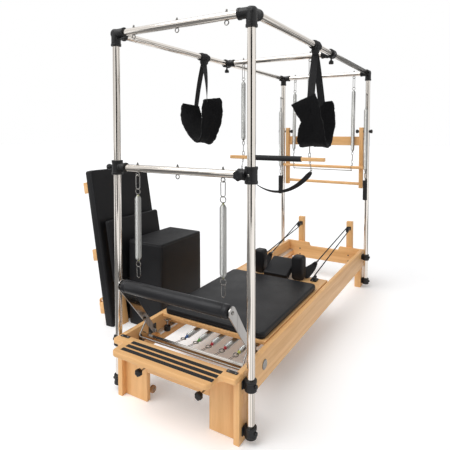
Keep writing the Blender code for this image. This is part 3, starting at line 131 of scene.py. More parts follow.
# Footbar
PIVOT_Y, PIVOT_Z, ARM_LONG, ARM_LEAN = -0.948, 0.264, 0.448, math.radians(36.6)
ARM_X, ARM_THICK, ARM_LOW_R, ARM_TOP_R, CAP_R = RAIL_IN - 0.005, 0.006, 0.015, 0.030, 0.026
ROLLER_R, ROLLER_HALF = 0.0345, 0.335
STRUT_AT, STRUT_DROP, STRUT_R, STRUT_INSET, STRUT_BEND = 0.1376, (-0.070, -0.0795), 0.004, 0.006, 0.014
BRACKET_HALF, BRACKET_SCREWS = (0.034, 0.026), ((-0.024, 0.014), (-0.024, -0.014), (0.025, 0.016))

# Canopy
POST_X, POST_Y, TOP_Z, TUBE_R, POST_FOOT_Z = 0.421, 1.168, 2.000, 0.019, 0.030
TUBE_SKIN_R, TUBE_RIM, TUBE_SIDES = 0.0198, 0.0008, 48
SOCKET_R, SOCKET_REACH, CLAMP_R = 0.026, 0.068, 0.029
CLAMP_HIGH, CLAMP_HEIGHTS = 0.052, (0.282, 0.058)
LOW_BAR_Z, LOW_CLAMP_HIGH, MID_BAR_Y, MID_CLAMP_LONG = 1.263, 0.080, 0.030, 0.060
KNOB_R, KNOB_LONG, KNOB_STEM = 0.016, 0.026, 0.018
EYE_R, EYE_WIRE_R, EYE_NECK = 0.009, 0.0025, 0.004
EYE_DROP = TUBE_R + EYE_NECK + 2 * EYE_R
FRONT_EYE_X, BACK_EYE_X, MID_EYE_X, LONG_EYE_Y = 0.290, 0.293, 0.270, -0.255
POST_EYE_Z, POST_EYE_NECK = 1.800, 0.040

# Hanging from the canopy. A spring's body is where its coil starts below the pivot, and its length
SPRING_R, FRONT_SPRING_X, COIL_PITCH = 0.0175, 0.270, 2.12
FRONT_BODY, TRAPEZE_BODY, BACK_BODY, SIDE_BODY = (
    (0.111, 0.348), (0.115, 0.450), (0.118, 0.565), (0.125, 0.560))
FRONT_LONG, SIDE_LONG, HANDLE_R = 0.563, 0.780, 0.020
HANDLE_RIBS = np.arange(0.030, 0.156, 0.009)
TRAPEZE_Z, TRAPEZE_HALF, GRIP_HALF, GRIP_R = 1.262, 0.383, 0.210, 0.021
STRAP_END_X, STRAP_END_Z, STRAP_SAG, STRAP_WIDE, STRAP_EYE_X = 0.283, 1.172, 0.162, 0.038, 0.272
ROLL_BAR_Z, ROLL_BAR_HALF, ROLL_BAR_R, ROLL_ROD_DROP = 1.125, 0.400, 0.014, 0.030
ROLL_BAR_Y = POST_Y - 0.020 - GAP - ROLL_BAR_R
PUSH_X, PUSH_WIDE, PUSH_DEEP, PUSH_LOW, PUSH_HIGH = 0.3675, 0.035, 0.040, 0.930, 1.500
PUSH_PIVOT_Z, PUSH_BOARD_Z, PUSH_BOARD_HIGH, PUSH_DOWEL_Z = 1.463, 1.331, 0.083, 0.970
LOOP_Y, LOOP_TURN = -0.300, {"left": math.radians(-20), "right": math.radians(-80)}
LOOP_HALF, LOOP_THICK, LOOP_CURL = 0.078, 0.0120, 0.010
# The fleece's tufts: the size of a ripple, its seed and its share
TUFTS = ((0.016, 3, 1.0), (0.007, 5, 0.7), (0.05, 8, 1.6))

# Accessories
BOX_X, BOX_Y, BOX_WIDE, BOX_LONG, BOX_HIGH = -0.797, -0.2775, 0.320, 0.503, 0.646
HOLE_X, HOLE_Z, HOLE_WIDE, HOLE_HIGH, HOLE_DEEP = -0.814, 0.146, 0.108, 0.034, 0.025
MAT_FOOT_X, MAT_Y, MAT_WIDE, MAT_LONG, MAT_THICK = -1.004, -0.3435, 0.617, 1.186, 0.075
MAT_LEAN = math.radians(10.1)
BATTEN_WIDE, BATTEN_THICK, BATTEN_AT = 0.085, 0.042, (0.140, 0.542, 1.059)
BATTEN_SCREWS_Y = (-0.24, 0, 0.24)
JUMP_Y, JUMP_WIDE, JUMP_THICK, JUMP_LOW, JUMP_TOP = -0.3375, 0.565, 0.045, 0.322, 0.790
JUMP_LEG_WIDE, JUMP_LEG_THICK, JUMP_LEG_IN, JUMP_LEG_IN_Y, JUMP_LEG_SHORT = (
    0.060, 0.028, 0.0013, 0.075, 0.060)

# Stage: the camera, the two suns (strength, spread and tilt in degrees), and how bright the world and
# the floor's own glow are
CAMERA_AT, CAMERA_TURN = (1.3099, -2.8819, 1.4629), (90 - 2.25, 0, 30.80)
LENS_LONG, LENS_SHIFT = 33.845, (-0.003, -0.171)
SUNS = (("key_sun", 1.90, 50, (32, 0, -34)), ("fill_sun", 0.15, 70, (50, 0, 42)))
WORLD_LEVEL, FLOOR_GLOW, FLOOR_HALF = 0.45, 0.16, 40
# Dark studio flags round the object, seen in reflections only: each one's turn in degrees, its near and
# far edge with their heights, its width, and its grey
FLAGS = (
    ("flag_behind_camera", 204.5, (6.0, 0.0), (6.0, 4.6), 3.7, 0.005),
    ("flag_front_left", 149.0, (6.0, 0.0), (6.0, 1.5), 2.8, 0.16),
    ("flag_front_floor", 149.0, (1.6, 0.004), (6.0, 0.004), 4.0, 0.26),
    ("flag_far_left", 58.0, (7.0, 0.0), (7.0, 4.0), 5.0, 0.20),
    ("flag_far_right", -7.0, (7.0, 0.0), (7.0, 4.0), 4.6, 0.24),
    ("flag_right_low", -35.0, (6.0, 0.6), (6.0, 1.7), 2.4, 0.12),
    ("flag_right_floor", -40.0, (1.8, 0.004), (6.0, 0.004), 3.0, 0.36),
)

# The bed's origin in the frame: midway between the rails, on the floor, HEAD_Y before the head board
ORIGIN = np.array([
    (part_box("rail_left")[0][0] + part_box("rail_right")[1][0]) / 2,
    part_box("head_board")[0][1] - HEAD_Y,
    0.0,
])


class ReformerSizes(PropertyGroup):
    """Sizes of the dressing that a user may change."""

    board_edge: FloatProperty(
        name="Board edge", description="Radius that rounds the edges of the wooden boards",
        default=0.003, min=0.0005, max=0.006, unit="LENGTH")
    strip_wide: FloatProperty(
        name="Strip width", description="Width of the anti-slip strips on the foot platform",
        default=0.025, min=0.01, max=0.03, unit="LENGTH")
    wire_r: FloatProperty(
        name="Spring wire radius", description="Radius of the wire that the springs are wound from",
        default=0.0015, min=0.001, max=0.002, unit="LENGTH")
    rope_r: FloatProperty(
        name="Rope radius", description="Radius of the braided ropes",
        default=0.0045, min=0.002, max=0.005, unit="LENGTH")
    pad_crown: FloatProperty(
        name="Pad crown", description="How far the middle of a pad stands above its edges",
        default=0.004, min=0.0, max=0.008, unit="LENGTH")
    seam_deep: FloatProperty(
        name="Seam depth", description="Depth of the sewn seams in the vinyl",
        default=0.0016, min=0.0, max=0.003, unit="LENGTH")
    pile: FloatProperty(
        name="Fleece pile", description="How far the tufts of the fleece stand out",
        default=0.0022, min=0.0, max=0.005, unit="LENGTH")


def colour_property(name, description, default):
    """A colour that a user may change."""
    return FloatVectorProperty(
        name=name, description=description, default=default, subtype="COLOR", min=0, max=1)


class ReformerColours(PropertyGroup):
    """Colours of the finishes that a user may change."""

    wood: colour_property("Wood", "Oiled beech of the bed and the bars", (0.90, 0.545, 0.245))
    steel: colour_property("Steel", "Brushed stainless tubes", (0.84, 0.79, 0.73))
    wire: colour_property("Spring wire", "Bright spring steel", (0.50, 0.505, 0.49))
    plastic: colour_property("Plastic", "Moulded clamps, sockets and knobs", (0.0065, 0.0065, 0.007))
    vinyl: colour_property("Vinyl", "Upholstery of the pads and boards", (0.0100, 0.0100, 0.0112))
    fleece: colour_property("Fleece", "Pile of the hanging loops", (0.0042, 0.0042, 0.0048))
    rope: colour_property("Rope", "Braided ropes and webbing", (0.010, 0.010, 0.011))
    strip: colour_property("Strip", "Anti-slip strips", (0.020, 0.020, 0.020))
    track: colour_property("Track", "Aluminium running tracks", (0.80, 0.80, 0.79))
    blue: colour_property("Blue", "End of the lightest spring", (0.03, 0.11, 0.32))
    green: colour_property("Green", "End of the second spring", (0.12, 0.34, 0.08))
    red: colour_property("Red", "Ends of the two heavy springs", (0.42, 0.016, 0.03))
    yellow: colour_property("Yellow", "Ends of the fifth spring and marks", (0.50, 0.52, 0.10))
    floor: colour_property("Floor", "Pale studio floor", (0.965, 0.970, 0.980))


def sizes():
    """The sizes as the scene holds them."""
    return bpy.context.scene.reformer_sizes


def colours():
    """The colours as the scene holds them."""
    return bpy.context.scene.reformer_colours


class Skin:
    """A closed surface: its points, its faces by number of corners, each face corner's place on the
    unrolled surface in metres, and each point's distance from the nearest seam."""

    def __init__(self, points, faces, spots, seams=None):
        self.points = np.asarray(points, float)
        self.faces = faces
        self.spots = spots
        self.seams = np.ones(len(self.points)) if seams is None else seams
        self.turn_outward()

    def turn_outward(self):
        """Reverses the faces where the volume that they enclose comes out negative."""
        from_middle = self.points - self.points.mean(0)
        volume = sum(
            np.sum(from_middle[f[:, :1]] * np.cross(from_middle[f[:, 1:-1]], from_middle[f[:, 2:]]))
            for f in self.faces
        )
        if volume < 0:
            self.faces = [f[:, ::-1] for f in self.faces]
            self.spots = [s[:, ::-1] for s in self.spots]

    def moved(self, place=(0, 0, 0), turn=None):
        """The skin turned about the bed's origin by a 3 by 3 matrix, then moved."""
        points = self.points if turn is None else self.points @ np.asarray(turn).T
        return Skin(points + np.asarray(place, float), self.faces, self.spots, self.seams)


def unit(vector):
    """The vector, or each one in an array of them, divided by its length."""
    vector = np.asarray(vector, float)
    return vector / np.linalg.norm(vector, axis=-1, keepdims=True)


def about(axis, angle):
    """Rotation matrix about an axis: the identity times the cosine, plus the matrix of the cross
    product with the axis times the sine, plus the axis's outer square times one minus the cosine."""
    axis = unit(axis)
    cross = np.cross(np.eye(3), -axis)
    return np.eye(3) * math.cos(angle) + cross.T * math.sin(angle) + np.outer(axis, axis) * (
        1 - math.cos(angle))


def loft(rings, poles=(None, None), closed=False, seams=None):
    """Joins rings of points, given as an array of ring by place by axis, into a closed surface.

    Neighbouring rings are joined by four-cornered faces. An end ring is closed by one flat face, or
    by a fan to its pole where one is given. With closed=True the last ring joins the first.
    """
    rings = np.asarray(rings, float)
    count, around = rings.shape[:2]
    here = np.arange(count if closed else count - 1)[:, None]
    side = np.arange(around)[None, :]
    ahead, beside = (here + 1) % count, (side + 1) % around
    quads = np.stack(
        [here * around + side, here * around + beside, ahead * around + beside, ahead * around + side],
        -1,
    ).reshape(-1, 4)
    widths = np.linalg.norm(np.roll(rings, -1, 1) - rings, axis=-1)
    u = np.concatenate([[0], np.cumsum(widths[np.argmax(widths.sum(1))])])
    steps = np.linalg.norm(np.roll(rings, -1, 0) - rings, axis=-1).mean(1)
    v = np.concatenate([[0], np.cumsum(steps)])
    up, across = np.broadcast_arrays(here, side)
    corner = [(across, up), (across + 1, up), (across + 1, up + 1), (across, up + 1)]
    places = np.stack([np.stack([u[a], v[b]], -1) for a, b in corner], -2).reshape(-1, 4, 2)
    points, faces, spots = rings.reshape(-1, 3), [quads], [places]
    marks = np.ones(len(points)) if seams is None else np.repeat(seams, around)
    if closed:
        return Skin(points, faces, spots, marks)
    for end, pole in ((0, poles[0]), (count - 1, poles[1])):
        edge = end * around + np.arange(around)
        along = v[end]
        if pole is None:
            faces.append(edge[None, :])
            spots.append(np.stack([u[:-1], np.full(around, along)], -1)[None])
            continue
        tip = len(points)
        points = np.vstack([points, np.asarray(pole, float)[None]])
        marks = np.append(marks, 1.0)
        fan = np.stack([edge, np.roll(edge, -1), np.full(around, tip)], -1)
        faces.append(fan if end else fan[:, ::-1])
        level = np.full(around, along)
        fan_spots = np.stack(
            [np.stack([u[:-1], level], -1), np.stack([u[1:], level], -1),
             np.stack([(u[:-1] + u[1:]) / 2, level + 0.001], -1)], -2)
        spots.append(fan_spots if end else fan_spots[:, ::-1])
    return Skin(points, faces, spots, marks)


def rounded(half_x, half_y, radius, corner=4, edge=1):
    """Points round a rectangle with quarter-circle corners, and the outward direction at each. A
    corner has `corner` steps, and `edge` points share out each straight side."""
    radius = min(radius, half_x, half_y)
    angles = np.linspace(0, math.pi / 2, corner + 1)
    points, outward = [], []
    for index, (sx, sy) in enumerate(((1, 1), (-1, 1), (-1, -1), (1, -1))):
        turn = angles + index * math.pi / 2
        way = np.stack([np.cos(turn), np.sin(turn)], -1)
        points.append(np.array([sx * (half_x - radius), sy * (half_y - radius)]) + radius * way)
        outward.append(way)
    share = np.arange(1, edge + 1)[:, None] / (edge + 1)
    all_points, all_outward = [], []
    for here, ahead, way in zip(points, points[1:] + points[:1], outward):
        all_points += [here, here[-1] + (ahead[0] - here[-1]) * share]
        all_outward += [way, np.repeat(way[-1:], edge, 0)]
    return np.vstack(all_points), np.vstack(all_outward)


def outward_of(outline):
    """The mitred outward direction at each corner of a closed outline: the sum of the two edges'
    outward directions, divided by one plus their cosine."""
    ahead = unit(np.roll(outline, -1, 0) - outline)
    before = np.roll(ahead, 1, 0)
    normals = [np.stack([edge[:, 1], -edge[:, 0]], -1) for edge in (before, ahead)]
    mitre = (normals[0] + normals[1]) / (1 + np.sum(normals[0] * normals[1], -1, keepdims=True))
    x, y = outline[:, 0], outline[:, 1]
    area = np.sum(x * np.roll(y, -1) - y * np.roll(x, -1))
    return mitre if area > 0 else -mitre


def slab(outline, low, high, origin=(0, 0, 0), first=X, second=Y, edge=None, outward=None, steps=3):
    """A board: the outline stands from `low` to `high` along the third direction, and its rims are
    quarter circles, where the outline draws in by r(1 - cos a) as it rises by r sin a."""
    edge = sizes().board_edge if edge is None else edge
    edge = min(edge, (high - low) / 2 * 0.98)
    outline = np.asarray(outline, float)
    outward = outward_of(outline) if outward is None else outward
    angle = np.linspace(0, math.pi / 2, steps + 1)
    inset = edge * (1 - np.sin(angle))
    rise = edge * (1 - np.cos(angle))
    draws = np.concatenate([inset, inset[::-1]])
    levels = np.concatenate([low + rise, high - rise[::-1]])
    flat = outline[None] - draws[:, None, None] * outward[None]
    first, second = np.asarray(first, float), np.asarray(second, float)
    third = np.cross(first, second)
    rings = (np.asarray(origin, float) + flat[..., :1] * first + flat[..., 1:] * second
             + levels[:, None, None] * third)
    return loft(rings)


def board(low, high, edge=None, turn=None, place=(0, 0, 0)):
    """A straight board between two corners, with every edge rounded."""
    edge = sizes().board_edge if edge is None else edge
    low, high = np.minimum(low, high), np.maximum(low, high)
    half, middle = (high - low) / 2, (high + low) / 2
    edge = min(edge, *(half * 0.98))
    outline, outward = rounded(half[0], half[1], edge, 3, 0)
    made = slab(outline, -half[2], half[2], edge=edge, outward=outward)
    return made.moved(middle).moved(place, turn)


def across_of(along):
    """Two directions at right angles to the given one."""
    along = unit(along)
    other = X if abs(along[0]) < 0.8 else Y
    first = unit(np.cross(along, other))
    return first, np.cross(along, first)


def turned(profile, start, axis, sides=32, lobes=0, lobe=0.0):
    """A profile of (radius, place along the axis) turned about the axis. With lobes, the radius
    swells by `lobe` times the cosine of that many times the angle."""
    profile = np.asarray(profile, float)
    axis = unit(axis)
    first, second = across_of(axis)
    start = np.asarray(start, float)
    poles = [start + axis * profile[i, 1] if profile[i, 0] < 1e-6 else None for i in (0, -1)]
    kept = profile[profile[:, 0] >= 1e-6]
    angle = np.arange(sides) * 2 * math.pi / sides
    swell = 1 + lobe * np.cos(lobes * angle)
    reach = kept[:, 0][:, None] * swell[None]
    rings = (start + axis * kept[:, 1][:, None, None]
             + first * (reach * np.cos(angle))[..., None] + second * (reach * np.sin(angle))[..., None])
    return loft(rings, poles)


def ring_of(profile, centre, axis, sides=32):
    """A closed profile of (radius, place) turned about the axis, as a bored wheel or a washer."""
    profile = np.asarray(profile, float)
    axis = unit(axis)
    first, second = across_of(axis)
    angle = np.arange(sides) * 2 * math.pi / sides
    rings = (np.asarray(centre, float) + axis * profile[:, 1][None, :, None]
             + first * (np.cos(angle)[:, None] * profile[:, 0][None])[..., None]
             + second * (np.sin(angle)[:, None] * profile[:, 0][None])[..., None])
    return loft(rings, closed=True)


def both_ways(half, middle=0.0):
    """Half a profile of (radius, place), followed by its mirror image about the middle place."""
    return [*half, *[(radius, 2 * middle - place) for radius, place in reversed(half)]]


def bar(start, end, radius, edge=0.0015, sides=32):
    """A round bar whose end rims are rounded by a quarter circle."""
    start, end = np.asarray(start, float), np.asarray(end, float)
    long = np.linalg.norm(end - start)
    edge = min(edge, radius * 0.9, long / 2.1)
    angle = np.linspace(0, math.pi / 2, 4)
    half = [(radius - edge * (1 - math.sin(a)), edge * (1 - math.cos(a))) for a in angle]
    return turned(both_ways(half, long / 2), start, end - start, sides)


def tube(start, end):
    """One of the canopy's tubes."""
    return bar(start, end, TUBE_SKIN_R, TUBE_RIM, TUBE_SIDES)


def swept(path, profile, across, closed=False, scale=None, lean=None):
    """A profile carried along a path. Its first axis is `across`, less its share along the path, and
    its second is the path's direction crossed with the first. `scale` sizes the profile's two axes
    and `lean` turns it about the path, point by point."""
    path, profile = np.asarray(path, float), np.asarray(profile, float)
    if closed:
        ahead = np.roll(path, -1, 0) - np.roll(path, 1, 0)
    else:
        ahead = np.gradient(path, axis=0)
    ahead = unit(ahead)
    across = np.broadcast_to(np.asarray(across, float), path.shape)
    first = unit(across - ahead * np.sum(across * ahead, -1, keepdims=True))
    second = np.cross(ahead, first)
    if lean is not None:
        cos, sin = np.cos(lean)[:, None], np.sin(lean)[:, None]
        first, second = first * cos + second * sin, second * cos - first * sin
    scale = np.ones((len(path), 2)) if scale is None else np.asarray(scale, float)
    rings = (path[:, None] + first[:, None] * (profile[None, :, :1] * scale[:, None, :1])
             + second[:, None] * (profile[None, :, 1:] * scale[:, None, 1:]))
    if closed:
        return loft(rings, closed=True)
    reach = np.abs(profile).min(1).mean() * 0.3
    return loft(rings, (path[0] - ahead[0] * reach, path[-1] + ahead[-1] * reach))


def circle(radius, sides=8):
    """Points round a circle about the origin."""
    angle = np.arange(sides) * 2 * math.pi / sides
    return np.stack([np.cos(angle), np.sin(angle)], -1) * radius


def wire(path, radius, across, sides=8, closed=False):
    """A round wire carried along a path."""
    return swept(path, circle(radius, sides), across, closed)


def round_ring(centre, radius, wire_r, first, second, points=28, sides=8):
    """A torus: a round wire carried round a circle that lies along two directions."""
    angle = np.arange(points) * 2 * math.pi / points
    path = (np.asarray(centre, float) + np.cos(angle)[:, None] * radius * np.asarray(first)
            + np.sin(angle)[:, None] * radius * np.asarray(second))
    return wire(path, wire_r, np.cross(first, second), sides, True)


def link(start, end, side, wide, wire_r, pear=0.0):
    """One closed link of chain from start to end: two straight sides joined by half circles, the far
    end narrower than the near one by the share `pear`."""
    start, end = np.asarray(start, float), np.asarray(end, float)
    along = unit(end - start)
    half = np.linalg.norm(end - start) / 2
    angle = np.arange(24) * 2 * math.pi / 24 + math.pi / 24
    reach = wide / 2 * (1 - pear * (1 + np.sin(angle)) / 2)
    rise = np.sign(np.sin(angle)) * (half - wide / 2) + wide / 2 * np.sin(angle)
    path = (start + end) / 2 + along * rise[:, None] + np.asarray(side) * (reach * np.cos(angle))[:, None]
    return wire(path, wire_r, np.cross(along, side), 6, True)


def chain(start, end, side, lengths, wide=0.014, wire_r=0.0016):
    """Links that share out the way from start to end by `lengths`, each turned a quarter from the last
    and hooked a wire's width into it."""
    start, end = np.asarray(start, float), np.asarray(end, float)
    along = unit(end - start)
    across = np.cross(along, side)
    whole = np.linalg.norm(end - start)
    ends = np.concatenate([[0], np.cumsum(lengths)]) / sum(lengths) * whole
    made = []
    for index, (near, far) in enumerate(zip(ends, ends[1:])):
        plane = side if index % 2 == 0 else across
        width = min(wide, (far - near) * 0.95 + 2 * wire_r)
        made.append(link(start + along * (near - wire_r), start + along * (far + wire_r), plane, width,
                         wire_r, 0.35 if far - near > 0.035 else 0.0))
    return made


def coil(start, along, first, long, radius, taper):
    """A close-wound spring: a round wire on a helix that climbs COIL_PITCH wire radii a turn. Its
    radius grows over the first curls and shrinks over the last, as the sine of the share of `taper`
    that has passed. The wire's ring at each step lies on the helix's outward and upright directions."""
    wire_r = sizes().wire_r
    along, first = unit(along), np.asarray(first, float)
    second = np.cross(along, first)
    curls = max(3, round(long / (COIL_PITCH * wire_r)))
    turns = np.arange(curls * 10 + 1) / 10
    share = np.clip(np.minimum(turns, curls - turns) / taper, 0, 1)
    reach = (radius - wire_r) * (0.28 + 0.72 * np.sin(share * math.pi / 2))
    angle = 2 * math.pi * turns
    outward = first * np.cos(angle)[:, None] + second * np.sin(angle)[:, None]
    path = np.asarray(start, float) + along * (long * turns / curls)[:, None] + outward * reach[:, None]
    ring = circle(wire_r, 6)
    rings = path[:, None] + outward[:, None] * ring[None, :, :1] + along * ring[None, :, 1:]
    return loft(rings, (path[0], path[-1]))


def cushion(half, corner, roll, crown=(0.0, 0.0), bulge=0.0, seams=(), pull=0.0, cells=10):
    """A padded block about the origin, with its big faces up and down.

    Rings run from the middle of the bottom face to its rim, round a quarter ellipse of `roll`, up the
    side and over to the middle of the top. The faces rise by their crown times one minus the square
    of the share across, both ways. The side swells by `bulge` times one minus the square of the share
    up, draws in by `pull` between the corners, and sinks at each seam along a bell curve.
    """
    hx, hy, hz = half
    outline, outward = rounded(hx, hy, corner, 6, cells)
    along_edge = np.max(1 - (outline / [hx, hy]) ** 2, 1)
    upright = hz - roll
    side = np.linspace(-upright, upright, 9)
    near = np.concatenate([s + np.linspace(-0.004, 0.004, 9) for s in seams]) if len(seams) else []
    side = np.unique(np.concatenate([side, np.clip(near, -upright, upright)]))
    angle = np.linspace(0, math.pi / 2, 6)[1:]
    draw_in, rise = roll * (1 - np.cos(angle)), upright + roll * np.sin(angle)
    face = np.linspace(0.06, 1, 9)[:-1]
    flat_in = np.full(len(face), roll)
    insets = np.concatenate([flat_in, draw_in[::-1], np.zeros(len(side)), draw_in, flat_in])
    levels = np.concatenate([np.full(len(face), -hz), -rise[::-1], side, rise, np.full(len(face), hz)])
    scales = np.concatenate([face, np.ones(2 * len(angle) + len(side)), face[::-1]])
    share = np.clip(1 - (levels / max(upright, 1e-6)) ** 2, 0, 1)
    apart = np.ones(len(levels))
    if len(seams):
        apart = np.min(np.abs(levels[:, None] - np.asarray(seams)[None]), 1)
    groove = sizes().seam_deep * np.exp(-(apart / 0.0016) ** 2)
    shift = (bulge * share - groove)[:, None] - pull * along_edge[None] * share[:, None]
    flat = (outline[None] + (shift - insets[:, None])[..., None] * outward[None]) * scales[:, None, None]
    share = np.prod(1 - (flat / [hx, hy]) ** 2, -1)
    top = np.where(levels[:, None] > 0, crown[0], -crown[1]) * np.clip(share, 0, 1)
    held = np.clip((np.abs(levels) - upright) / max(roll, 1e-6), 0, 1)[:, None]
    rings = np.concatenate([flat, (levels[:, None] + top * held)[..., None]], -1)
    seam_at = np.where(np.abs(levels) < upright + 1e-6, apart, 1.0)
    return loft(rings, ((0, 0, -hz - crown[1]), (0, 0, hz + crown[0])), seams=seam_at)


def ripples(points, size, seed):
    """A smooth, repeatable noise: the mean of sines along fixed, uneven directions."""
    chance = np.random.default_rng(seed)
    waves = chance.normal(size=(10, 3))
    waves = unit(waves) * (2 * math.pi / size) * chance.uniform(0.6, 1.5, (10, 1))
    return np.sin(points @ waves.T + chance.uniform(0, 6.28, 10)).sum(1) / 3.2


class Graph:
    """The nodes of one material, with a shorter way to add and join them."""

    def __init__(self, name, **sockets):
        self.material = bpy.data.materials.new(name)
        self.material.use_nodes = True
        self.nodes = self.material.node_tree.nodes
        self.links = self.material.node_tree.links
        self.shader = self.nodes["Principled BSDF"]
        for key, value in sockets.items():
            self.shader.inputs[key.replace("_", " ")].default_value = value

    def add(self, kind, inputs=None, **settings):
        node = self.nodes.new("ShaderNode" + kind)
        for key, value in settings.items():
            setattr(node, key, value)
        for key, value in (inputs or {}).items():
            self.set(node.inputs[key], value)
        return node

    def set(self, socket, value):
        if isinstance(value, bpy.types.NodeSocket):
            self.links.new(value, socket)
        else:
            socket.default_value = value

    def noise(self, vector, scale, detail=2.0, roughness=0.5, distortion=0.0):
        return self.add("TexNoise", {
            "Vector": vector, "Scale": scale, "Detail": detail, "Roughness": roughness,
            "Distortion": distortion}).outputs["Fac"]

    def span(self, value, low, high, start=0.0, end=1.0):
        """The value mapped from start..end onto low..high."""
        node = self.add("MapRange", {
            "Value": value, "From Min": start, "From Max": end, "To Min": low, "To Max": high})
        return node.outputs["Result"]

    def sum(self, kind, first, second):
        return self.add("Math", {0: first, 1: second}, operation=kind).outputs[0]

    def blend(self, share, first, second, kind="MIX"):
        node = self.add("Mix", {0: share, 6: first, 7: second}, data_type="RGBA", blend_type=kind)
        return node.outputs[2]

    def tint(self, colour, value):
        """The colour times a grey value that varies over the surface."""
        grey = self.add("CombineColor", {0: value, 1: value, 2: value}).outputs[0]
        return self.blend(1.0, (*colour, 1), grey, "MULTIPLY")

    def stretched(self, scale=(1, 1, 1)):
        """The piece's own places, each axis scaled."""
        spot = self.add("TexCoord").outputs["Object"]
        return self.add("Mapping", {"Vector": spot, "Scale": scale}).outputs["Vector"]

    def drawn(self, grain, share):
        """Places scaled by the share along the grain only, so that a pattern is drawn out along it."""
        return self.stretched([share if axis == grain else 1.0 for axis in range(3)])

    def unrolled(self):
        """The places round and along the unrolled surface, in metres."""
        return self.add("SeparateXYZ", {0: self.add("UVMap").outputs["UV"]}).outputs

    def relief(self, height, strength, distance):
        node = self.add("Bump", {"Height": height, "Strength": strength, "Distance": distance})
        self.set(self.shader.inputs["Normal"], node.outputs["Normal"])

    def finish(self, colour=None, rough=None):
        if colour is not None:
            self.set(self.shader.inputs["Base Color"], colour)
        if rough is not None:
            self.set(self.shader.inputs["Roughness"], rough)
        return self.material


STAVES_A_METRE = 17.0


def wood_finish(name, grain, boards):
    """Beech: slow figure and fine pores stretched along the grain, and glued staves whose tone
    changes from stave to stave across the direction `boards`."""
    graph = Graph(name, Specular_IOR_Level=0.42, Coat_Weight=0.12, Coat_Roughness=0.35)
    slow, fine = graph.drawn(grain, 0.05), graph.drawn(grain, 0.03)
    figure = graph.noise(slow, 26, 3, 0.55, 0.9)
    pores = graph.noise(fine, 420, 2, 0.6)
    flecks = graph.noise(fine, 1500, 1, 0.5)
    spot = graph.add("TexCoord").outputs["Object"]
    staves = [STAVES_A_METRE * part for part in boards]
    over = graph.add("VectorMath", {0: spot, 1: staves}, operation="DOT_PRODUCT")
    stave = graph.sum("FLOOR", over.outputs["Value"], 0.0)
    tone = graph.add("TexWhiteNoise", {"W": stave}, noise_dimensions="1D").outputs["Value"]
    wood = tuple(colours().wood)
    dark = (wood[0] * 0.80, wood[1] * 0.68, wood[2] * 0.52, 1)
    warm = graph.blend(graph.span(figure, 0.0, 0.62, 0.40, 0.72), (*wood, 1), dark)
    pore = (dark[0] * 0.8, dark[1] * 0.72, dark[2] * 0.66, 1)
    warm = graph.blend(graph.span(pores, 0.0, 0.34, 0.52, 0.78), warm, pore)
    lows = {i: graph.span(tone, low, 1.03) for i, low in enumerate((0.93, 0.90, 0.86))}
    shade = graph.add("CombineColor", lows)
    colour = graph.blend(1.0, warm, shade.outputs[0], "MULTIPLY")
    graph.relief(graph.sum("ADD", pores, flecks), 0.22, 0.0004)
    return graph.finish(colour, graph.span(figure, 0.36, 0.52))


def steel_finish(name, grain, colour, rough=(0.08, 0.17), depth=1.0):
    """Brushed metal. Hair lines run along the grain and change the colour, the gloss and the relief.
    Thin dark lines where a slow noise crosses its middle value, and broad dark streaks, also run along
    the grain: they are painted reflections of a dark surrounding, in the colour only, and `depth` sets
    how far they darken it."""
    graph = Graph(name, Metallic=1.0)
    hair = graph.noise(graph.drawn(grain, 0.004), 900, 2, 0.6)
    # The slow and the broad noise make painted reflections: thin dark lines and broad dark streaks along the
    # grain that stand for a dark surrounding mirrored in the steel
    slow = graph.noise(graph.drawn(grain, 0.002), 62, 1, 0.4)
    broad = graph.noise(graph.drawn(grain, 0.004), 38, 1, 0.4)
    middle = graph.sum("ABSOLUTE", graph.sum("SUBTRACT", slow, 0.5), 0.0)
    line = graph.span(middle, 1.0, 0.0, 0.004, 0.040)
    # How far the painted reflections darken the steel, point by point
    shade = graph.sum("MAXIMUM", line, graph.span(broad, 0.0, 0.30, 0.52, 0.68))
    lit = graph.tint(colour, graph.span(hair, 0.80, 1.06, 0.3, 0.7))
    # The colour of the painted reflections, darker than the steel by `depth`
    dark = tuple(part * (1 - depth * drop) for part, drop in zip(colour, (0.90, 0.925, 0.945)))
    brushed_and_painted_reflection = graph.blend(graph.sum("MULTIPLY", shade, 0.62), lit, (*dark, 1))
    graph.relief(hair, 0.10, 0.0002)
    return graph.finish(brushed_and_painted_reflection, graph.span(hair, rough[0], rough[1]))


def plain_metal(name, colour, rough=(0.22, 0.38)):
    """Drawn wire and small fittings: bright metal with fine clouding and light scratches."""
    graph = Graph(name, Metallic=1.0)
    cloud = graph.noise(graph.stretched(), 160, 3, 0.6)
    fine = graph.noise(graph.stretched((1, 1, 0.2)), 1400, 2, 0.6)
    graph.relief(fine, 0.12, 0.0002)
    return graph.finish(graph.tint(colour, graph.span(cloud, 0.78, 1.0, 0.3, 0.7)),
                        graph.span(cloud, rough[0], rough[1]))


def plastic_finish(name, colour, rough=(0.36, 0.52), grit=700, strength=0.25):
    """Moulded plastic: a fine eggshell relief, with the gloss and tone a little uneven."""
    graph = Graph(name, Specular_IOR_Level=0.38)
    cloud = graph.noise(graph.stretched(), 45, 3, 0.6)
    fine = graph.noise(graph.stretched(), grit, 2, 0.5)
    graph.relief(fine, strength, 0.0003)
    return graph.finish(graph.tint(colour, graph.span(cloud, 0.75, 1.15, 0.3, 0.7)),
                        graph.span(cloud, rough[0], rough[1]))


STITCHES_A_METRE = 240.0


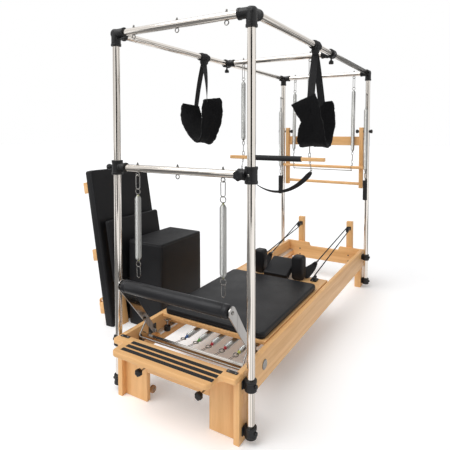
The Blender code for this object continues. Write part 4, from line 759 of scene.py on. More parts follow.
def vinyl_finish(name, colour, rough=(0.38, 0.50)):
    """Upholstery vinyl: a pebbled grain of small cells, faint pressure clouds, and stitches in dashes
    beside each seam, from the piece's own seam distance and unrolled places."""
    graph = Graph(name, Specular_IOR_Level=0.20)
    spot = graph.stretched()
    cells = graph.add("TexVoronoi", {"Vector": spot, "Scale": 520.0}, feature="DISTANCE_TO_EDGE")
    pebble = graph.span(cells.outputs["Distance"], 0.0, 1.0, 0.0, 0.28)
    cloud = graph.noise(spot, 7, 4, 0.55)
    seam = graph.add("Attribute", attribute_name="seam").outputs["Fac"]
    away = graph.sum("ABSOLUTE", graph.sum("SUBTRACT", seam, 0.0042), 0.0)
    line = graph.span(away, 1.0, 0.0, 0.0004, 0.0009)
    step = graph.sum("MULTIPLY", graph.unrolled()[0], STITCHES_A_METRE)
    dash = graph.sum("GREATER_THAN", graph.sum("FRACT", step, 0.0), 0.34)
    stitch = graph.sum("MULTIPLY", line, dash)
    base = graph.tint(colour, graph.span(cloud, 0.84, 1.16, 0.3, 0.7))
    thread = graph.blend(stitch, base, (0.075, 0.075, 0.078, 1))
    height = graph.sum("ADD", graph.sum("MULTIPLY", pebble, 0.5), stitch)
    graph.relief(height, 0.30, 0.0004)
    return graph.finish(thread, graph.span(cloud, rough[0], rough[1], 0.3, 0.7))


def fleece_finish(name, colour):
    """Deep pile: clumps and single tufts in the relief and the tone, with a soft sheen."""
    graph = Graph(name, Roughness=1.0, Specular_IOR_Level=0.1, Sheen_Weight=0.05, Sheen_Roughness=0.6)
    clump = graph.noise(graph.stretched(), 120, 4, 0.7, 0.8)
    tuft = graph.noise(graph.stretched((1, 1, 0.6)), 600, 3, 0.7, 0.5)
    both = graph.sum("ADD", clump, graph.sum("MULTIPLY", tuft, 0.6))
    graph.relief(both, 0.9, 0.003)
    return graph.finish(graph.tint(colour, graph.span(both, 0.35, 1.9, 0.5, 1.1)),
                        graph.span(tuft, 0.85, 1.0))


def rope_finish(name, colour, plait=0.0035, width=0.0018):
    """Braid: two sets of strands that cross, each the sine of the unrolled places added or taken."""
    graph = Graph(name, Specular_IOR_Level=0.25)
    parts = graph.unrolled()
    turn = graph.sum("MULTIPLY", parts[0], math.pi / width / 2)
    rise = graph.sum("MULTIPLY", parts[1], math.pi / plait)
    strands = [graph.sum("SINE", graph.sum(kind, turn, rise), 0.0) for kind in ("ADD", "SUBTRACT")]
    weave = graph.sum("MAXIMUM", strands[0], strands[1])
    fuzz = graph.noise(graph.stretched(), 900, 2, 0.6)
    graph.relief(graph.sum("ADD", weave, fuzz), 0.5, 0.0006)
    tone = graph.sum("ADD", graph.span(weave, 0.5, 1.3, -0.5, 1.0), graph.span(fuzz, -0.1, 0.3))
    return graph.finish(graph.tint(colour, tone), graph.span(fuzz, 0.62, 0.85))


def webbing_finish(name, colour):
    """Woven strap: ribs across it and a finer rib along it, from the piece's unrolled places."""
    graph = Graph(name, Specular_IOR_Level=0.3)
    parts = graph.unrolled()
    ribs = graph.sum("SINE", graph.sum("MULTIPLY", parts[1], 2 * math.pi / 0.0016), 0.0)
    rows = graph.sum("SINE", graph.sum("MULTIPLY", parts[0], 2 * math.pi / 0.0032), 0.0)
    weave = graph.sum("MULTIPLY", ribs, rows)
    fuzz = graph.noise(graph.stretched(), 700, 2, 0.6)
    graph.relief(weave, 0.35, 0.0005)
    tone = graph.sum("ADD", graph.span(weave, 0.75, 1.25, -1.0, 1.0), graph.span(fuzz, -0.15, 0.15))
    return graph.finish(graph.tint(colour, tone), graph.span(fuzz, 0.6, 0.8))


# Each finish: the slot that it fills, the function that makes it, and what that function takes after
# the name. A colour given as a word is one that a user may change.
FINISHES = {
    "wood_x": ("wood", wood_finish, 0, (0, 1, 0)),
    "wood_x_upright": ("wood", wood_finish, 0, (0, 0, 1)),
    "wood_y": ("wood", wood_finish, 1, (0, 0, 1)),
    "wood_y_flat": ("wood", wood_finish, 1, (1, 0, 0)),
    "wood_z": ("wood", wood_finish, 2, (1, 0, 0)),
    "wood_z_side": ("wood", wood_finish, 2, (0, 1, 0)),
    # A steel finish's painted reflection lines darken it fully, or as far as a last number says where one is
    # given
    "steel_x": ("steel", steel_finish, 0, "steel"),
    "steel_y": ("steel", steel_finish, 1, "steel"),
    "steel_z": ("steel", steel_finish, 2, "steel"),
    "polished": ("steel", steel_finish, 2, (0.40, 0.385, 0.37), (0.08, 0.14), 0.45),
    "fitting": ("steel", plain_metal, (0.29, 0.28, 0.265), (0.12, 0.24)),
    "black_screw": ("steel", plain_metal, (0.06, 0.06, 0.06), (0.30, 0.45)),
    "spring": ("springs", plain_metal, "wire", (0.26, 0.42)),
    "plastic": ("plastic", plastic_finish, "plastic"),
    "dark_plate": ("plastic", plastic_finish, (0.030, 0.030, 0.031), (0.3, 0.42), 300, 0.15),
    "strip": ("plastic", plastic_finish, "strip", (0.8, 0.95), 1500, 0.8),
    "grip": ("plastic", plastic_finish, (0.014, 0.014, 0.015), (0.62, 0.78), 1100, 0.5),
    "caster": ("plastic", plastic_finish, (0.36, 0.20, 0.10), (0.4, 0.55), 500, 0.3),
    "track": ("steel", steel_finish, 1, "track", (0.42, 0.55), 0.3),
    "vinyl": ("upholstery", vinyl_finish, "vinyl"),
    "roller_vinyl": ("upholstery", vinyl_finish, (0.020, 0.020, 0.022), (0.30, 0.40)),
    "fleece": ("fleece", fleece_finish, "fleece"),
    "rope": ("rope", rope_finish, "rope"),
    "webbing": ("rope", webbing_finish, "rope"),
    "blue": ("plastic", plastic_finish, "blue", (0.3, 0.45)),
    "green": ("plastic", plastic_finish, "green", (0.3, 0.45)),
    "red": ("plastic", plastic_finish, "red", (0.3, 0.45)),
    "yellow": ("plastic", plastic_finish, "yellow", (0.3, 0.45)),
}


def finish_of(name):
    """The finish's material, made when a piece first asks for it."""
    _, maker, *given = FINISHES[name]
    given = [tuple(getattr(colours(), part)) if isinstance(part, str) else part for part in given]
    return bpy.data.materials.get("reformer_" + name) or maker("reformer_" + name, *given)


def mesh_of(name, skins, sharp):
    """One mesh of all the skins, moved to the frame, with its unrolled places and seam distances."""
    starts = np.concatenate([[0], np.cumsum([len(skin.points) for skin in skins])])
    points = np.vstack([skin.points for skin in skins]) + ORIGIN
    corners = [(f + start).ravel() for skin, start in zip(skins, starts) for f in skin.faces]
    spots = np.concatenate([s.reshape(-1, 2) for skin in skins for s in skin.spots])
    lengths = np.concatenate([np.full(len(f), f.shape[1]) for skin in skins for f in skin.faces])
    loops = np.concatenate([[0], np.cumsum(lengths)])
    mesh = bpy.data.meshes.new(name)
    mesh.vertices.add(len(points))
    mesh.vertices.foreach_set("co", points.astype(np.float32).ravel())
    mesh.loops.add(loops[-1])
    mesh.loops.foreach_set("vertex_index", np.concatenate(corners).astype(np.int32))
    mesh.polygons.add(len(lengths))
    mesh.polygons.foreach_set("loop_start", loops[:-1].astype(np.int32))
    mesh.uv_layers.new(name="UVMap").data.foreach_set("uv", spots.astype(np.float32).ravel())
    seams = mesh.attributes.new("seam", "FLOAT", "POINT")
    away = np.concatenate([skin.seams for skin in skins])
    seams.data.foreach_set("value", away.astype(np.float32))
    mesh.update(calc_edges=True)
    mesh.shade_smooth()
    mesh.set_sharp_from_angle(angle=math.radians(sharp))
    return mesh


def dress(name, rides, skins, finish, replaced=(), sharp=38):
    """Makes one piece of the skins, with its finish, and hides the parts that it replaces. Where `rides`
    names a body, the piece is parented to that body's empty. Where `rides` gives two bodies with two
    points, the piece's place is baked into its mesh. Where `rides` gives a joint, an axis, a point and a
    share, the piece is parented to the bed's empty with a mesh of its own."""
    made = bpy.data.objects.new(name, mesh_of(name, skins, sharp))
    bpy.context.scene.collection.objects.link(made)
    made.data.materials.append(finish_of(finish))
    if isinstance(rides, str):
        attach(made, rides)
    elif isinstance(rides[1], str):
        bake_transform(made)
    else:
        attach(made, BED)
        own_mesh(made)
    if replaced:
        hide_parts(*replaced)
    return made


def arc(centre, radius, start, end, steps):
    """Points on a circle's arc in a plane, with the angles in degrees."""
    angle = np.radians(np.linspace(start, end, steps + 1))
    return np.stack([centre[0] + radius * np.cos(angle), centre[1] + radius * np.sin(angle)], -1)


def mirrored(half):
    """One half of an outline, from the centre line outward, followed by its mirror image."""
    half = np.asarray(half, float)
    return np.vstack([half, (half * [-1, 1])[::-1][np.abs(half[::-1, 0]) > 1e-9]])


def curve_through(points, count):
    """Evenly spaced points on a smooth curve through the given ones: each stretch is the cubic whose
    end slopes are half the step between the neighbours."""
    points = np.asarray(points, float)
    ends = np.vstack([2 * points[0] - points[1], points, 2 * points[-1] - points[-2]])
    t = np.arange(24)[:, None] / 24
    fine = [
        0.5 * (2 * b + (c - a) * t + (2 * a - 5 * b + 4 * c - d) * t**2
               + (3 * b - a - 3 * c + d) * t**3)
        for a, b, c, d in zip(ends, ends[1:], ends[2:], ends[3:])
    ]
    fine = np.vstack([*fine, points[-1:]])
    run = np.concatenate([[0], np.cumsum(np.linalg.norm(np.diff(fine, axis=0), axis=1))])
    at = np.linspace(0, run[-1], count)
    return np.stack([np.interp(at, run, fine[:, axis]) for axis in range(3)], -1)


def screw_head(place, axis, radius=0.0045, high=0.002):
    """A low domed head with a sunk socket."""
    profile = [(0, high * 0.2), (radius * 0.42, high * 0.2), (radius * 0.45, high * 0.7),
               (radius * 0.5, high), (radius * 0.8, high * 0.85), (radius, high * 0.35),
               (radius, -0.001), (0, -0.001)]
    return turned(profile, place, axis, 16)


def sleeve(start, end, radius, rim=0.0025, rim_long=0.010):
    """A moulded sleeve with a thicker rim at both ends."""
    start, end = np.asarray(start, float), np.asarray(end, float)
    long = np.linalg.norm(end - start)
    e = 0.0012
    half = [(radius + rim - e, 0), (radius + rim, e), (radius + rim, rim_long - e), (radius, rim_long + e)]
    return turned(both_ways(half, long / 2), start, end - start, 40)


def lobed_knob(face, axis, radius, long, lobes=7):
    """A hand knob whose rim swells into lobes, with a rounded face and a shoulder."""
    e = radius * 0.16
    profile = [(radius * 0.55, 0), (radius * 0.62, e), (radius * 0.96, long * 0.30),
               (radius, long * 0.42), (radius, long - e), (radius - e * 0.4, long - e * 0.3),
               (radius - e, long), (radius * 0.35, long), (radius * 0.30, long - 0.001), (0, long - 0.001)]
    return turned(profile, face, axis, 56, lobes, 0.07)


def stem_knob(face, axis):
    """A disc knob on its stem, from the face that it stands on."""
    face, axis = np.asarray(face, float), np.asarray(axis, float)
    shoulder = face + axis * KNOB_STEM
    return [bar(face - axis * 0.002, shoulder + axis * 0.002, 0.006, 0.001, 20),
            lobed_knob(shoulder, axis, KNOB_R, KNOB_LONG, 8)]


def eyebolt(top, down, across, neck=EYE_NECK):
    """An eyebolt through a tube: ring, neck, flange below the tube, and a domed nut above it."""
    top, down, across = (np.asarray(v, float) for v in (top, down, across))
    ring_r = EYE_R + 0.0018
    centre = top + down * (TUBE_R + neck + 2 * EYE_R - ring_r)
    nut = [(0.0070, -0.003), (0.0070, 0.0040), (0.0048, 0.0048), (0.0046, 0.0110), (0.0036, 0.0140),
           (0, 0.0150)]
    return [round_ring(centre, ring_r, EYE_WIRE_R + 0.0003, across, down),
            bar(top + down * (TUBE_R - 0.004), centre - down * (ring_r - 0.001), EYE_WIRE_R, 0.0005, 16),
            bar(top + down * (TUBE_R - 0.002), top + down * (TUBE_R + 0.0020), 0.0062, 0.0006, 20),
            turned(nut, top - down * (TUBE_R - 0.0005), -down, 20)]


def washer(centre, axis, bore, radius, thick, sides=32):
    """A flat ring that stands on its centre's plane."""
    return ring_of([(bore, 0), (radius, 0), (radius, thick), (bore, thick)], centre, axis, sides)


def collar(centre, axis, long, rim):
    """A sliding clamp's bored sleeve, with a thicker rim of length `rim` at both ends."""
    half, bore, thick = long / 2, TUBE_R + 0.0004, CLAMP_R + 0.0022
    start = [(bore, -half), (CLAMP_R, -half), (thick, 0.0012 - half), (thick, rim - half),
             (CLAMP_R, rim + 0.0015 - half)]
    return ring_of(both_ways(start), centre, axis, 44)


def hang(name, rides, pivot, end, body, side, lower=(), snap=0.020):
    """Dresses one hanging spring: its coil and its fittings above and below. A snap hook as wide as
    `snap` and a ring hang from the eye. `lower` gives the lengths of the links below the coil. Without
    it, a ring and a second hook hang there, and the coil's ends are marked."""
    pivot, end = np.asarray(pivot, float), np.asarray(end, float)
    along = unit(end - pivot)
    at, long = body
    top, bottom = pivot + along * (at - 0.004), pivot + along * (at + long + 0.004)
    across = np.cross(along, side)
    wound = [coil(top, along, side, long + 0.008, SPRING_R, 6.5)]
    ring_r = snap * 0.62
    snap_end = top - along * (2 * ring_r + 0.004)
    eye_low = pivot + along * (-0.003)
    fittings = [
        link(eye_low, snap_end + along * 0.003, unit(side * 0.5 + across), snap, 0.0024, 0.3),
        round_ring(snap_end + along * (ring_r - 0.001), ring_r, 0.0023, along, across),
        round_ring(top - along * 0.001, 0.0066, 0.0020, along, side, 20),
        bar(top + along * 0.003, top + along * 0.012, 0.0052, 0.001, 16),
        bar(bottom - along * 0.012, bottom - along * 0.003, 0.0052, 0.001, 16),
        round_ring(bottom + along * 0.003, 0.0066, 0.0020, along, side, 20),
    ]
    marks = []
    if lower:
        fittings += chain(bottom + along * 0.006, end, across, lower, 0.016, 0.0022)
    else:
        ring_at = bottom + along * (0.006 + ring_r)
        fittings.append(round_ring(ring_at, ring_r, 0.0023, along, across))
        fittings.append(link(ring_at + along * (ring_r - 0.003), end, unit(side * 0.5 + across),
                             snap * 0.85, 0.0023, 0.3))
        cone = [(0.0048, 0), (0.0062, 0.002), (0.0085, 0.013), (0.0080, 0.0135)]
        marks = [turned(cone, top - along * 0.002, along, 20),
                 turned(cone, bottom + along * 0.002, -along, 20)]
    dress(name + "_coil", rides, wound, "spring", [name])
    dress(name + "_links", rides, fittings, "fitting")
    if marks:
        dress(name + "_marks", rides, marks, "yellow")


class REFORMER_OT_rails(Operator):
    """Side rails, their running ledges and the aluminium tracks on them"""

    bl_idname = "reformer.rails"
    bl_label = "Side rails"

    def execute(self, context):
        start, end = PLATFORM_BACK_Y + GAP, HEAD_Y - GAP
        for side, word in SIDES:
            rail = board((side * RAIL_IN, start, RAIL_BOTTOM), (side * RAIL_OUT, end, RAIL_TOP))
            ledge = board((side * (RAIL_IN - LEDGE_WIDE), LEDGE_START_Y, LEDGE_TOP - LEDGE_DEEP),
                          (side * (RAIL_IN + 0.002), end, LEDGE_TOP - 0.0022))
            dress("rail_boards_" + word, BED, [rail, ledge], "wood_y", ["rail_" + word])
            top = board((side * (RAIL_IN - LEDGE_WIDE - 0.001), LEDGE_START_Y + 0.004, LEDGE_TOP - 0.0024),
                        (side * RAIL_IN, end, LEDGE_TOP), 0.0005)
            lip = board((side * (RAIL_IN - LEDGE_WIDE - 0.0015), LEDGE_START_Y + 0.004, LEDGE_TOP - 0.012),
                        (side * (RAIL_IN - LEDGE_WIDE + 0.0005), end, LEDGE_TOP), 0.0005)
            dress("running_track_" + word, BED, [top, lip], "track")
        return {"FINISHED"}


class REFORMER_OT_platform(Operator):
    """Foot platform with its ears and notches, anti-slip strips and corner plates"""

    bl_idname = "reformer.platform"
    bl_label = "Foot platform"

    def execute(self, context):
        front, ear = PLATFORM_BACK_Y - PLATFORM_REACH, PLATFORM_BACK_Y - EAR_REACH
        outline = np.vstack([
            [(0, PLATFORM_BACK_Y), (RAIL_OUT - 0.001, PLATFORM_BACK_Y)],
            arc((RAIL_OUT - EAR_R, ear + EAR_R), EAR_R, 0, -90, 8),
            arc((PLATFORM_HALF + NOTCH_R, ear - NOTCH_R), NOTCH_R, 90, 180, 12),
            arc((PLATFORM_HALF - CORNER_R, front + CORNER_R), CORNER_R, 0, -90, 12),
            [(0, front)],
        ])
        top = slab(mirrored(outline), PLATFORM_BOTTOM, RAIL_TOP, edge=0.005)
        dress("foot_platform_board", BED, [top], "wood_x", ["foot_platform"])
        wide = sizes().strip_wide
        strips = []
        for y in STRIPS_Y:
            flat, out = rounded(STRIP_HALF, wide / 2, 0.003, 4, 1)
            strips.append(slab(flat, RAIL_TOP - 0.0005, RAIL_TOP + 0.0009, (STRIP_X, y, 0), edge=0.0004,
                               outward=out))
        dress("anti_slip_strips", BED, strips, "strip")
        plates, screws = [], []
        for side, _ in SIDES:
            flat, out = rounded(0.030, 0.0105, 0.004, 5, 1)
            place = np.array([side * PLATE_X, PLATFORM_BACK_Y - PLATE_IN_Y, 0])
            plates.append(slab(flat, RAIL_TOP - 0.0005, RAIL_TOP + 0.0028, place, edge=0.001, outward=out))
            for way in (-1, 1):
                screws.append(screw_head(place + [way * PLATE_SCREW, 0, RAIL_TOP + 0.0026], Z))
        dress("corner_plates", BED, plates, "plastic")
        dress("corner_plate_screws", BED, screws, "fitting")
        return {"FINISHED"}


class REFORMER_OT_foot_legs(Operator):
    """Foot-end legs, the apron between them, its two star knobs and the transport wheels"""

    bl_idname = "reformer.foot_legs"
    bl_label = "Foot-end legs"

    def execute(self, context):
        front, back = PLATFORM_BACK_Y - FOOT_LEG_FRONT, PLATFORM_BACK_Y + FOOT_LEG_BACK
        top, step = PLATFORM_BOTTOM - GAP, RAIL_BOTTOM - GAP
        outline = [(front, 0), (back, 0), (back, step), (PLATFORM_BACK_Y - GAP, step),
                   (PLATFORM_BACK_Y - GAP, top), (front, top)]
        for side, word in SIDES:
            middle = side * (RAIL_OUT - FOOT_LEG_THICK / 2)
            half = FOOT_LEG_THICK / 2
            upright = slab(outline, -half, half, (middle, 0, 0), Y, Z, edge=0.0025)
            dress("foot_leg_side_" + word, BED, [upright], "wood_z_side", ["foot_leg_" + word])
            facing = board((side * FRONT_BOARD_IN, PLATFORM_BACK_Y, 0.0005),
                           (side * (RAIL_OUT - FOOT_LEG_THICK + 0.001),
                            PLATFORM_BACK_Y + FRONT_BOARD_THICK, top))
            dress("foot_leg_front_" + word, BED, [facing], "wood_z")
            hub = np.array([side * (FRONT_BOARD_IN + 0.008), PLATFORM_BACK_Y + 0.046, 0.050])
            tyre = [(0, 0), (0.0175, 0), (0.0195, 0.0015), (0.020, 0.004), (0.020, 0.014), (0.0195, 0.0165),
                    (0.0175, 0.018), (0, 0.018)]
            wheel = turned(tyre, hub, -X * side, 40)
            dress("transport_wheel_" + word, BED, [wheel], "caster")
            pin = bar(hub + X * side * 0.010, hub - X * side * 0.0205, 0.0045, 0.001, 20)
            fork = board(hub + [-0.004, -0.014, -0.006], hub + [0.010, 0.020, 0.006], 0.001)
            dress("transport_wheel_pin_" + word, BED, [pin, fork], "fitting")
        apron = board((-FRONT_BOARD_IN + GAP, PLATFORM_BACK_Y, PLATFORM_BOTTOM - APRON_DEEP),
                      (FRONT_BOARD_IN - GAP, PLATFORM_BACK_Y + FRONT_BOARD_THICK, top))
        dress("foot_apron_board", BED, [apron], "wood_x_upright", ["foot_apron"])
        studs, knobs = [], []
        for side, _ in SIDES:
            face = np.array([side * STAR_X, PLATFORM_BACK_Y, STAR_Z])
            knob = face - Y * STAR_LONG
            studs.append(bar(face + Y * 0.002, knob + Y * 0.002, 0.004, 0.0005, 16))
            studs.append(washer(face - Y * 0.0017, Y, 0.0045, 0.010, 0.0016))
            knobs.append(lobed_knob(knob + Y * 0.002, -Y, STAR_R, 0.028, 6))
        dress("star_knob_studs", BED, studs, "fitting")
        dress("star_knobs", BED, knobs, "plastic")
        return {"FINISHED"}


class REFORMER_OT_head_end(Operator):
    """Head board with its lowered middle, head-end legs and the bolts through the board"""

    bl_idname = "reformer.head_end"
    bl_label = "Head end"

    def execute(self, context):
        low = RAIL_TOP - HEAD_DIP
        outline = np.vstack([
            [(0, RAIL_BOTTOM), (RAIL_OUT, RAIL_BOTTOM), (RAIL_OUT, RAIL_TOP)],
            arc((HEAD_DIP_HALF + HEAD_DIP_SLOPE, RAIL_TOP - HEAD_DIP_R), HEAD_DIP_R, 90, 150, 6),
            arc((HEAD_DIP_HALF, low + HEAD_DIP_R), HEAD_DIP_R, -30, -90, 6),
            [(0, low)],
        ])
        middle = (0, HEAD_Y + HEAD_THICK / 2, 0)
        half = HEAD_THICK / 2
        back_board = slab(mirrored(outline), -half, half, middle, X, Z)
        dress("head_board_plank", BED, [back_board], "wood_x_upright", ["head_board"])
        bolts = []
        for side, _ in SIDES:
            for z in HEAD_BOLTS_Z:
                place = np.array([side * RISER_X, HEAD_Y, z])
                bolts.append(screw_head(place, -Y, 0.0065, 0.0028))
                bolts.append(screw_head(place + Y * HEAD_THICK, Y, 0.0065, 0.0028))
            for z in LEG_BOLTS_Z:
                bolts.append(screw_head((side * RAIL_OUT, HEAD_Y + half, z), X * side, 0.0055, 0.002))
        dress("head_board_bolts", BED, bolts, "black_screw")
        back = HEAD_Y + HEAD_LEG_BACK
        for side, word in SIDES:
            leg = board((side * (RAIL_OUT - HEAD_LEG_WIDE), back - HEAD_LEG_LONG, 0),
                        (side * RAIL_OUT, back, RAIL_BOTTOM - GAP))
            dress("head_leg_post_" + word, BED, [leg], "wood_z_side", ["head_leg_" + word])
        return {"FINISHED"}


class REFORMER_OT_risers(Operator):
    """Rope risers with their pulleys, steel cheeks and bolts"""

    bl_idname = "reformer.risers"
    bl_label = "Risers and pulleys"

    def execute(self, context):
        cheek = PULLEY_WIDE / 2 + GAP
        for side, word in SIDES:
            x, back = side * RISER_X, RISER_Y + RISER_THICK
            riser = board((x - RISER_WIDE / 2, RISER_Y, RAIL_BOTTOM), (x + RISER_WIDE / 2, back, RISER_TOP))
            dress("riser_post_" + word, BED, [riser], "wood_z", ["riser_" + word])
            steel = []
            for face in (-1, 1):
                outline, out = rounded(0.034, 0.0105, 0.0100, 8, 1)
                place = (x + face * (cheek + 0.0015), PULLEY_Y + 0.0235, PULLEY_Z)
                steel.append(slab(outline, -0.0015, 0.0015, place, Y, Z, edge=0.0005, outward=out))
                end = (x + face * (cheek + 0.003), PULLEY_Y, PULLEY_Z)
                steel.append(screw_head(end, X * face, 0.0065, 0.003))
            steel.append(board((x - 0.016, RISER_Y - 0.003, PULLEY_Z - 0.018),
                               (x + 0.016, RISER_Y + 0.0005, PULLEY_Z + 0.018), 0.001))
            steel.append(bar((x - cheek, PULLEY_Y, PULLEY_Z), (x + cheek, PULLEY_Y, PULLEY_Z), 0.004,
                             0.0005, 16))
            for z in (PULLEY_Z - 0.012, PULLEY_Z + 0.012, *RISER_BOLTS_Z):
                steel.append(screw_head((x, back, z), Y, 0.006, 0.003))
            dress("pulley_bracket_" + word, BED, steel, "dark_plate")
            half, r = PULLEY_WIDE / 2, PULLEY_R
            groove = np.linspace(-1, 1, 9)
            seat = [(r - PULLEY_GROOVE * (1 - g * g) - 0.0008, g * (2e-3 - half)) for g in groove]
            face = [(0.0046, half), (0.012, half), (0.013, half - 0.0015), (r - 0.005, half - 0.0015),
                    (r - 0.004, half), (r - 0.0008, half), (r, half - 0.0008)]
            rim = [*face, *seat, *[(a, -b) for a, b in reversed(face)]]
            wheel = ring_of(rim, (x, PULLEY_Y, PULLEY_Z), X, 48)
            dress("pulley_wheel_" + word, "pulley_" + word, [wheel], "plastic", ["pulley_" + word])
        return {"FINISHED"}


class REFORMER_OT_ropes(Operator):
    """Ropes from the carriage over the pulleys, with their ferrules and hand loops"""

    bl_idname = "reformer.ropes"
    bl_label = "Ropes and hand loops"

    def execute(self, context):
        rope_r = sizes().rope_r
        seat = PULLEY_R - PULLEY_GROOVE + rope_r + GAP
        for side, word in SIDES:
            x = side * RISER_X
            cleat = np.array([side * CLEAT_X, CLEAT_Y, BOARD_TOP + CLEAT_HIGH + rope_r + GAP])
            ferrule = np.array(FERRULES[word])
            axle = np.array([x, PULLEY_Y, PULLEY_Z])
            low = math.atan2(axle[2] - seat - cleat[2], axle[1] - cleat[1]) - math.pi / 2
            high = math.atan2(axle[2] + seat - ferrule[2], axle[1] - ferrule[1]) + math.pi / 2
            angle = np.linspace(low, high, 20)[:, None]
            # The rope lies on the groove between the two angles at which it leaves the pulley
            wrap = axle + Y * seat * np.cos(angle) + Z * seat * np.sin(angle)
            share = np.linspace(0, 1, 30)[:, None]
            lower = cleat + (wrap[0] - cleat) * share[:-1]
            upper = wrap[-1] + (ferrule - wrap[-1]) * share[1:]
            path = np.vstack([lower, wrap, upper])
            # The share of the rope's length that is left at full travel
            kept = 1 - CARRIAGE_TRAVEL / (PULLEY_Y - CLEAT_Y)
            rope = dress("rope_line_" + word, ("carriage_travel", Y, axle, kept),
                         [wire(path, rope_r, X, 10)], "rope", ["rope_" + word])
            rides = (BED, "carriage", *(axle * [1, 0, 1] + Y * bend for bend in LOOP_BENDS[word]))
            down = unit(ferrule - wrap[-1])
            tip = ferrule + down * FERRULE_LONG
            profile = [(0.0040, -0.003), (0.0062, -0.001), (0.0070, 0.003), (0.0070, 0.028),
                       (0.0075, 0.030), (0.0075, 0.035), (0.006, 0.037)]
            steel = turned(profile, ferrule, down, 28)
            end_fit = dress("rope_ferrule_" + word, rides, [steel], "fitting")
            reach = np.array(LOOP_ENDS[word]) - tip
            wide = unit(np.cross(LOOP_FACE, reach))
            out = unit(np.cross(reach, wide))
            leg = [(0.0, 0.0), (0.3, 0.007), (0.75, 0.010), (0.96, 0.007)]
            legs = [*leg, (1.0, 0.0), *[(s, -z) for s, z in reversed(leg)]]
            loop = curve_through([tip + down * 0.008 + reach * s + out * z - Z * 0.012 * math.sin(math.pi * s)
                                  for s, z in legs], 90)
            far = np.clip((loop - tip) @ reach / (reach @ reach), 0, 1)
            band, _ = rounded(0.0225, 0.0040, 0.0039, 4, 3)
            strap = swept(loop, band, wide, scale=np.stack([0.50 + 1.35 * far ** 0.75, 0.9 + 0.3 * far], -1))
            neck = [(0.0065, -0.002), (0.0085, 0.004), (0.0125, 0.022), (0.0145, 0.034), (0.010, 0.038)]
            cover = turned(neck, tip, down, 28)
            hand = dress("hand_loop_" + word, rides, [strap, cover], "webbing")
            length = np.linalg.norm(np.diff(path, axis=0), axis=1).sum()
        return {"FINISHED"}


class REFORMER_OT_springs(Operator):
    """Spring bar across the foot end and the five carriage springs with their coloured ends"""

    bl_idname = "reformer.springs"
    bl_label = "Spring bar and springs"

    def execute(self, context):
        half, front = RAIL_IN - GAP, SPRING_BAR_Y - SPRING_BAR_WIDE / 2
        top = SPRING_BAR_TOP
        section = [(0, 0), (0, -0.026), (0.003, -0.026), (0.003, -0.006), (0.006, -0.003), (0.022, -0.003),
                   (0.022, -0.026), (0.025, -0.026), (0.025, 0)]
        angle_bar = slab(section[::-1], -half, half, (0, front, top), Y, Z, edge=0.0006)
        ends = [board((side * (half - 0.022), front - 0.002, top - 0.046),
                      (side * half, front + 0.037, top - 0.003), 0.001) for side, _ in SIDES]
        dress("spring_bar_rail", BED, [angle_bar], "steel_x", ["spring_bar"])
        dress("spring_bar_brackets", BED, ends, "dark_plate")
        pegs = []
        for index, shade in enumerate(("blue", "green", "red", "red", "yellow")):
            x = BED_SPRING_X + index * BED_SPRING_STEP
            pegs.append(bar((x, front + 0.020, top - 0.014), (x, front + 0.034, top - 0.014), 0.004,
                            0.001, 16))
            start = np.array([x, BED_SPRING_Y - 0.006, BED_SPRING_Z])
            far = start + Y * (BED_SPRING_LONG + 0.012)
            rides = (BED, "carriage", start, far)
            wound = coil(start, Y, X, BED_SPRING_LONG + 0.012, BED_SPRING_R, 6.0)
            tail = curve_through([far - Y * 0.01, far + Y * 0.012, far + Y * 0.026 + Z * 0.014,
                                  [x, far[1] + 0.030, BOARD_BOTTOM - 0.001]], 16)
            dress(f"bed_spring_coil_{index + 1}", rides, [wound, wire(tail, 0.002, X)], "spring",
                  [f"bed_spring_{index + 1}"])
            cap = [(0.0040, -0.016), (0.0058, -0.014), (0.0066, -0.004), (0.0105, 0.010), (0.0115, 0.0125),
                   (0.009, 0.013)]
            dress(f"bed_spring_end_{index + 1}", rides, [turned(cap, start, Y, 24)], shade)
            ring_at = start - Y * (0.016 + 0.0150) + Z * 0.001
            lean = unit(Y + Z * (-0.25 + 0.12 * index))
            hook = curve_through([start - Y * y + Z * z for y, z in (
                (0.012, 0), (0.020, 0.003), (0.024, 0.001), (0.019, -0.004), (0.013, -0.001))], 18)
            snap = [round_ring(ring_at, 0.0155, 0.0018, X, lean, 36),
                    round_ring(ring_at + Z * 0.0028, 0.0150, 0.0014, X, lean, 36),
                    wire(hook, 0.0018, X, 6),
                    link([x, ring_at[1] - 0.011, ring_at[2]], [x, front + 0.029, top - 0.012], X, 0.012,
                         0.0016, 0.2)]
            dress(f"bed_spring_ring_{index + 1}", BED, snap, "fitting")
        dress("spring_pegs", BED, pegs, "fitting")
        return {"FINISHED"}


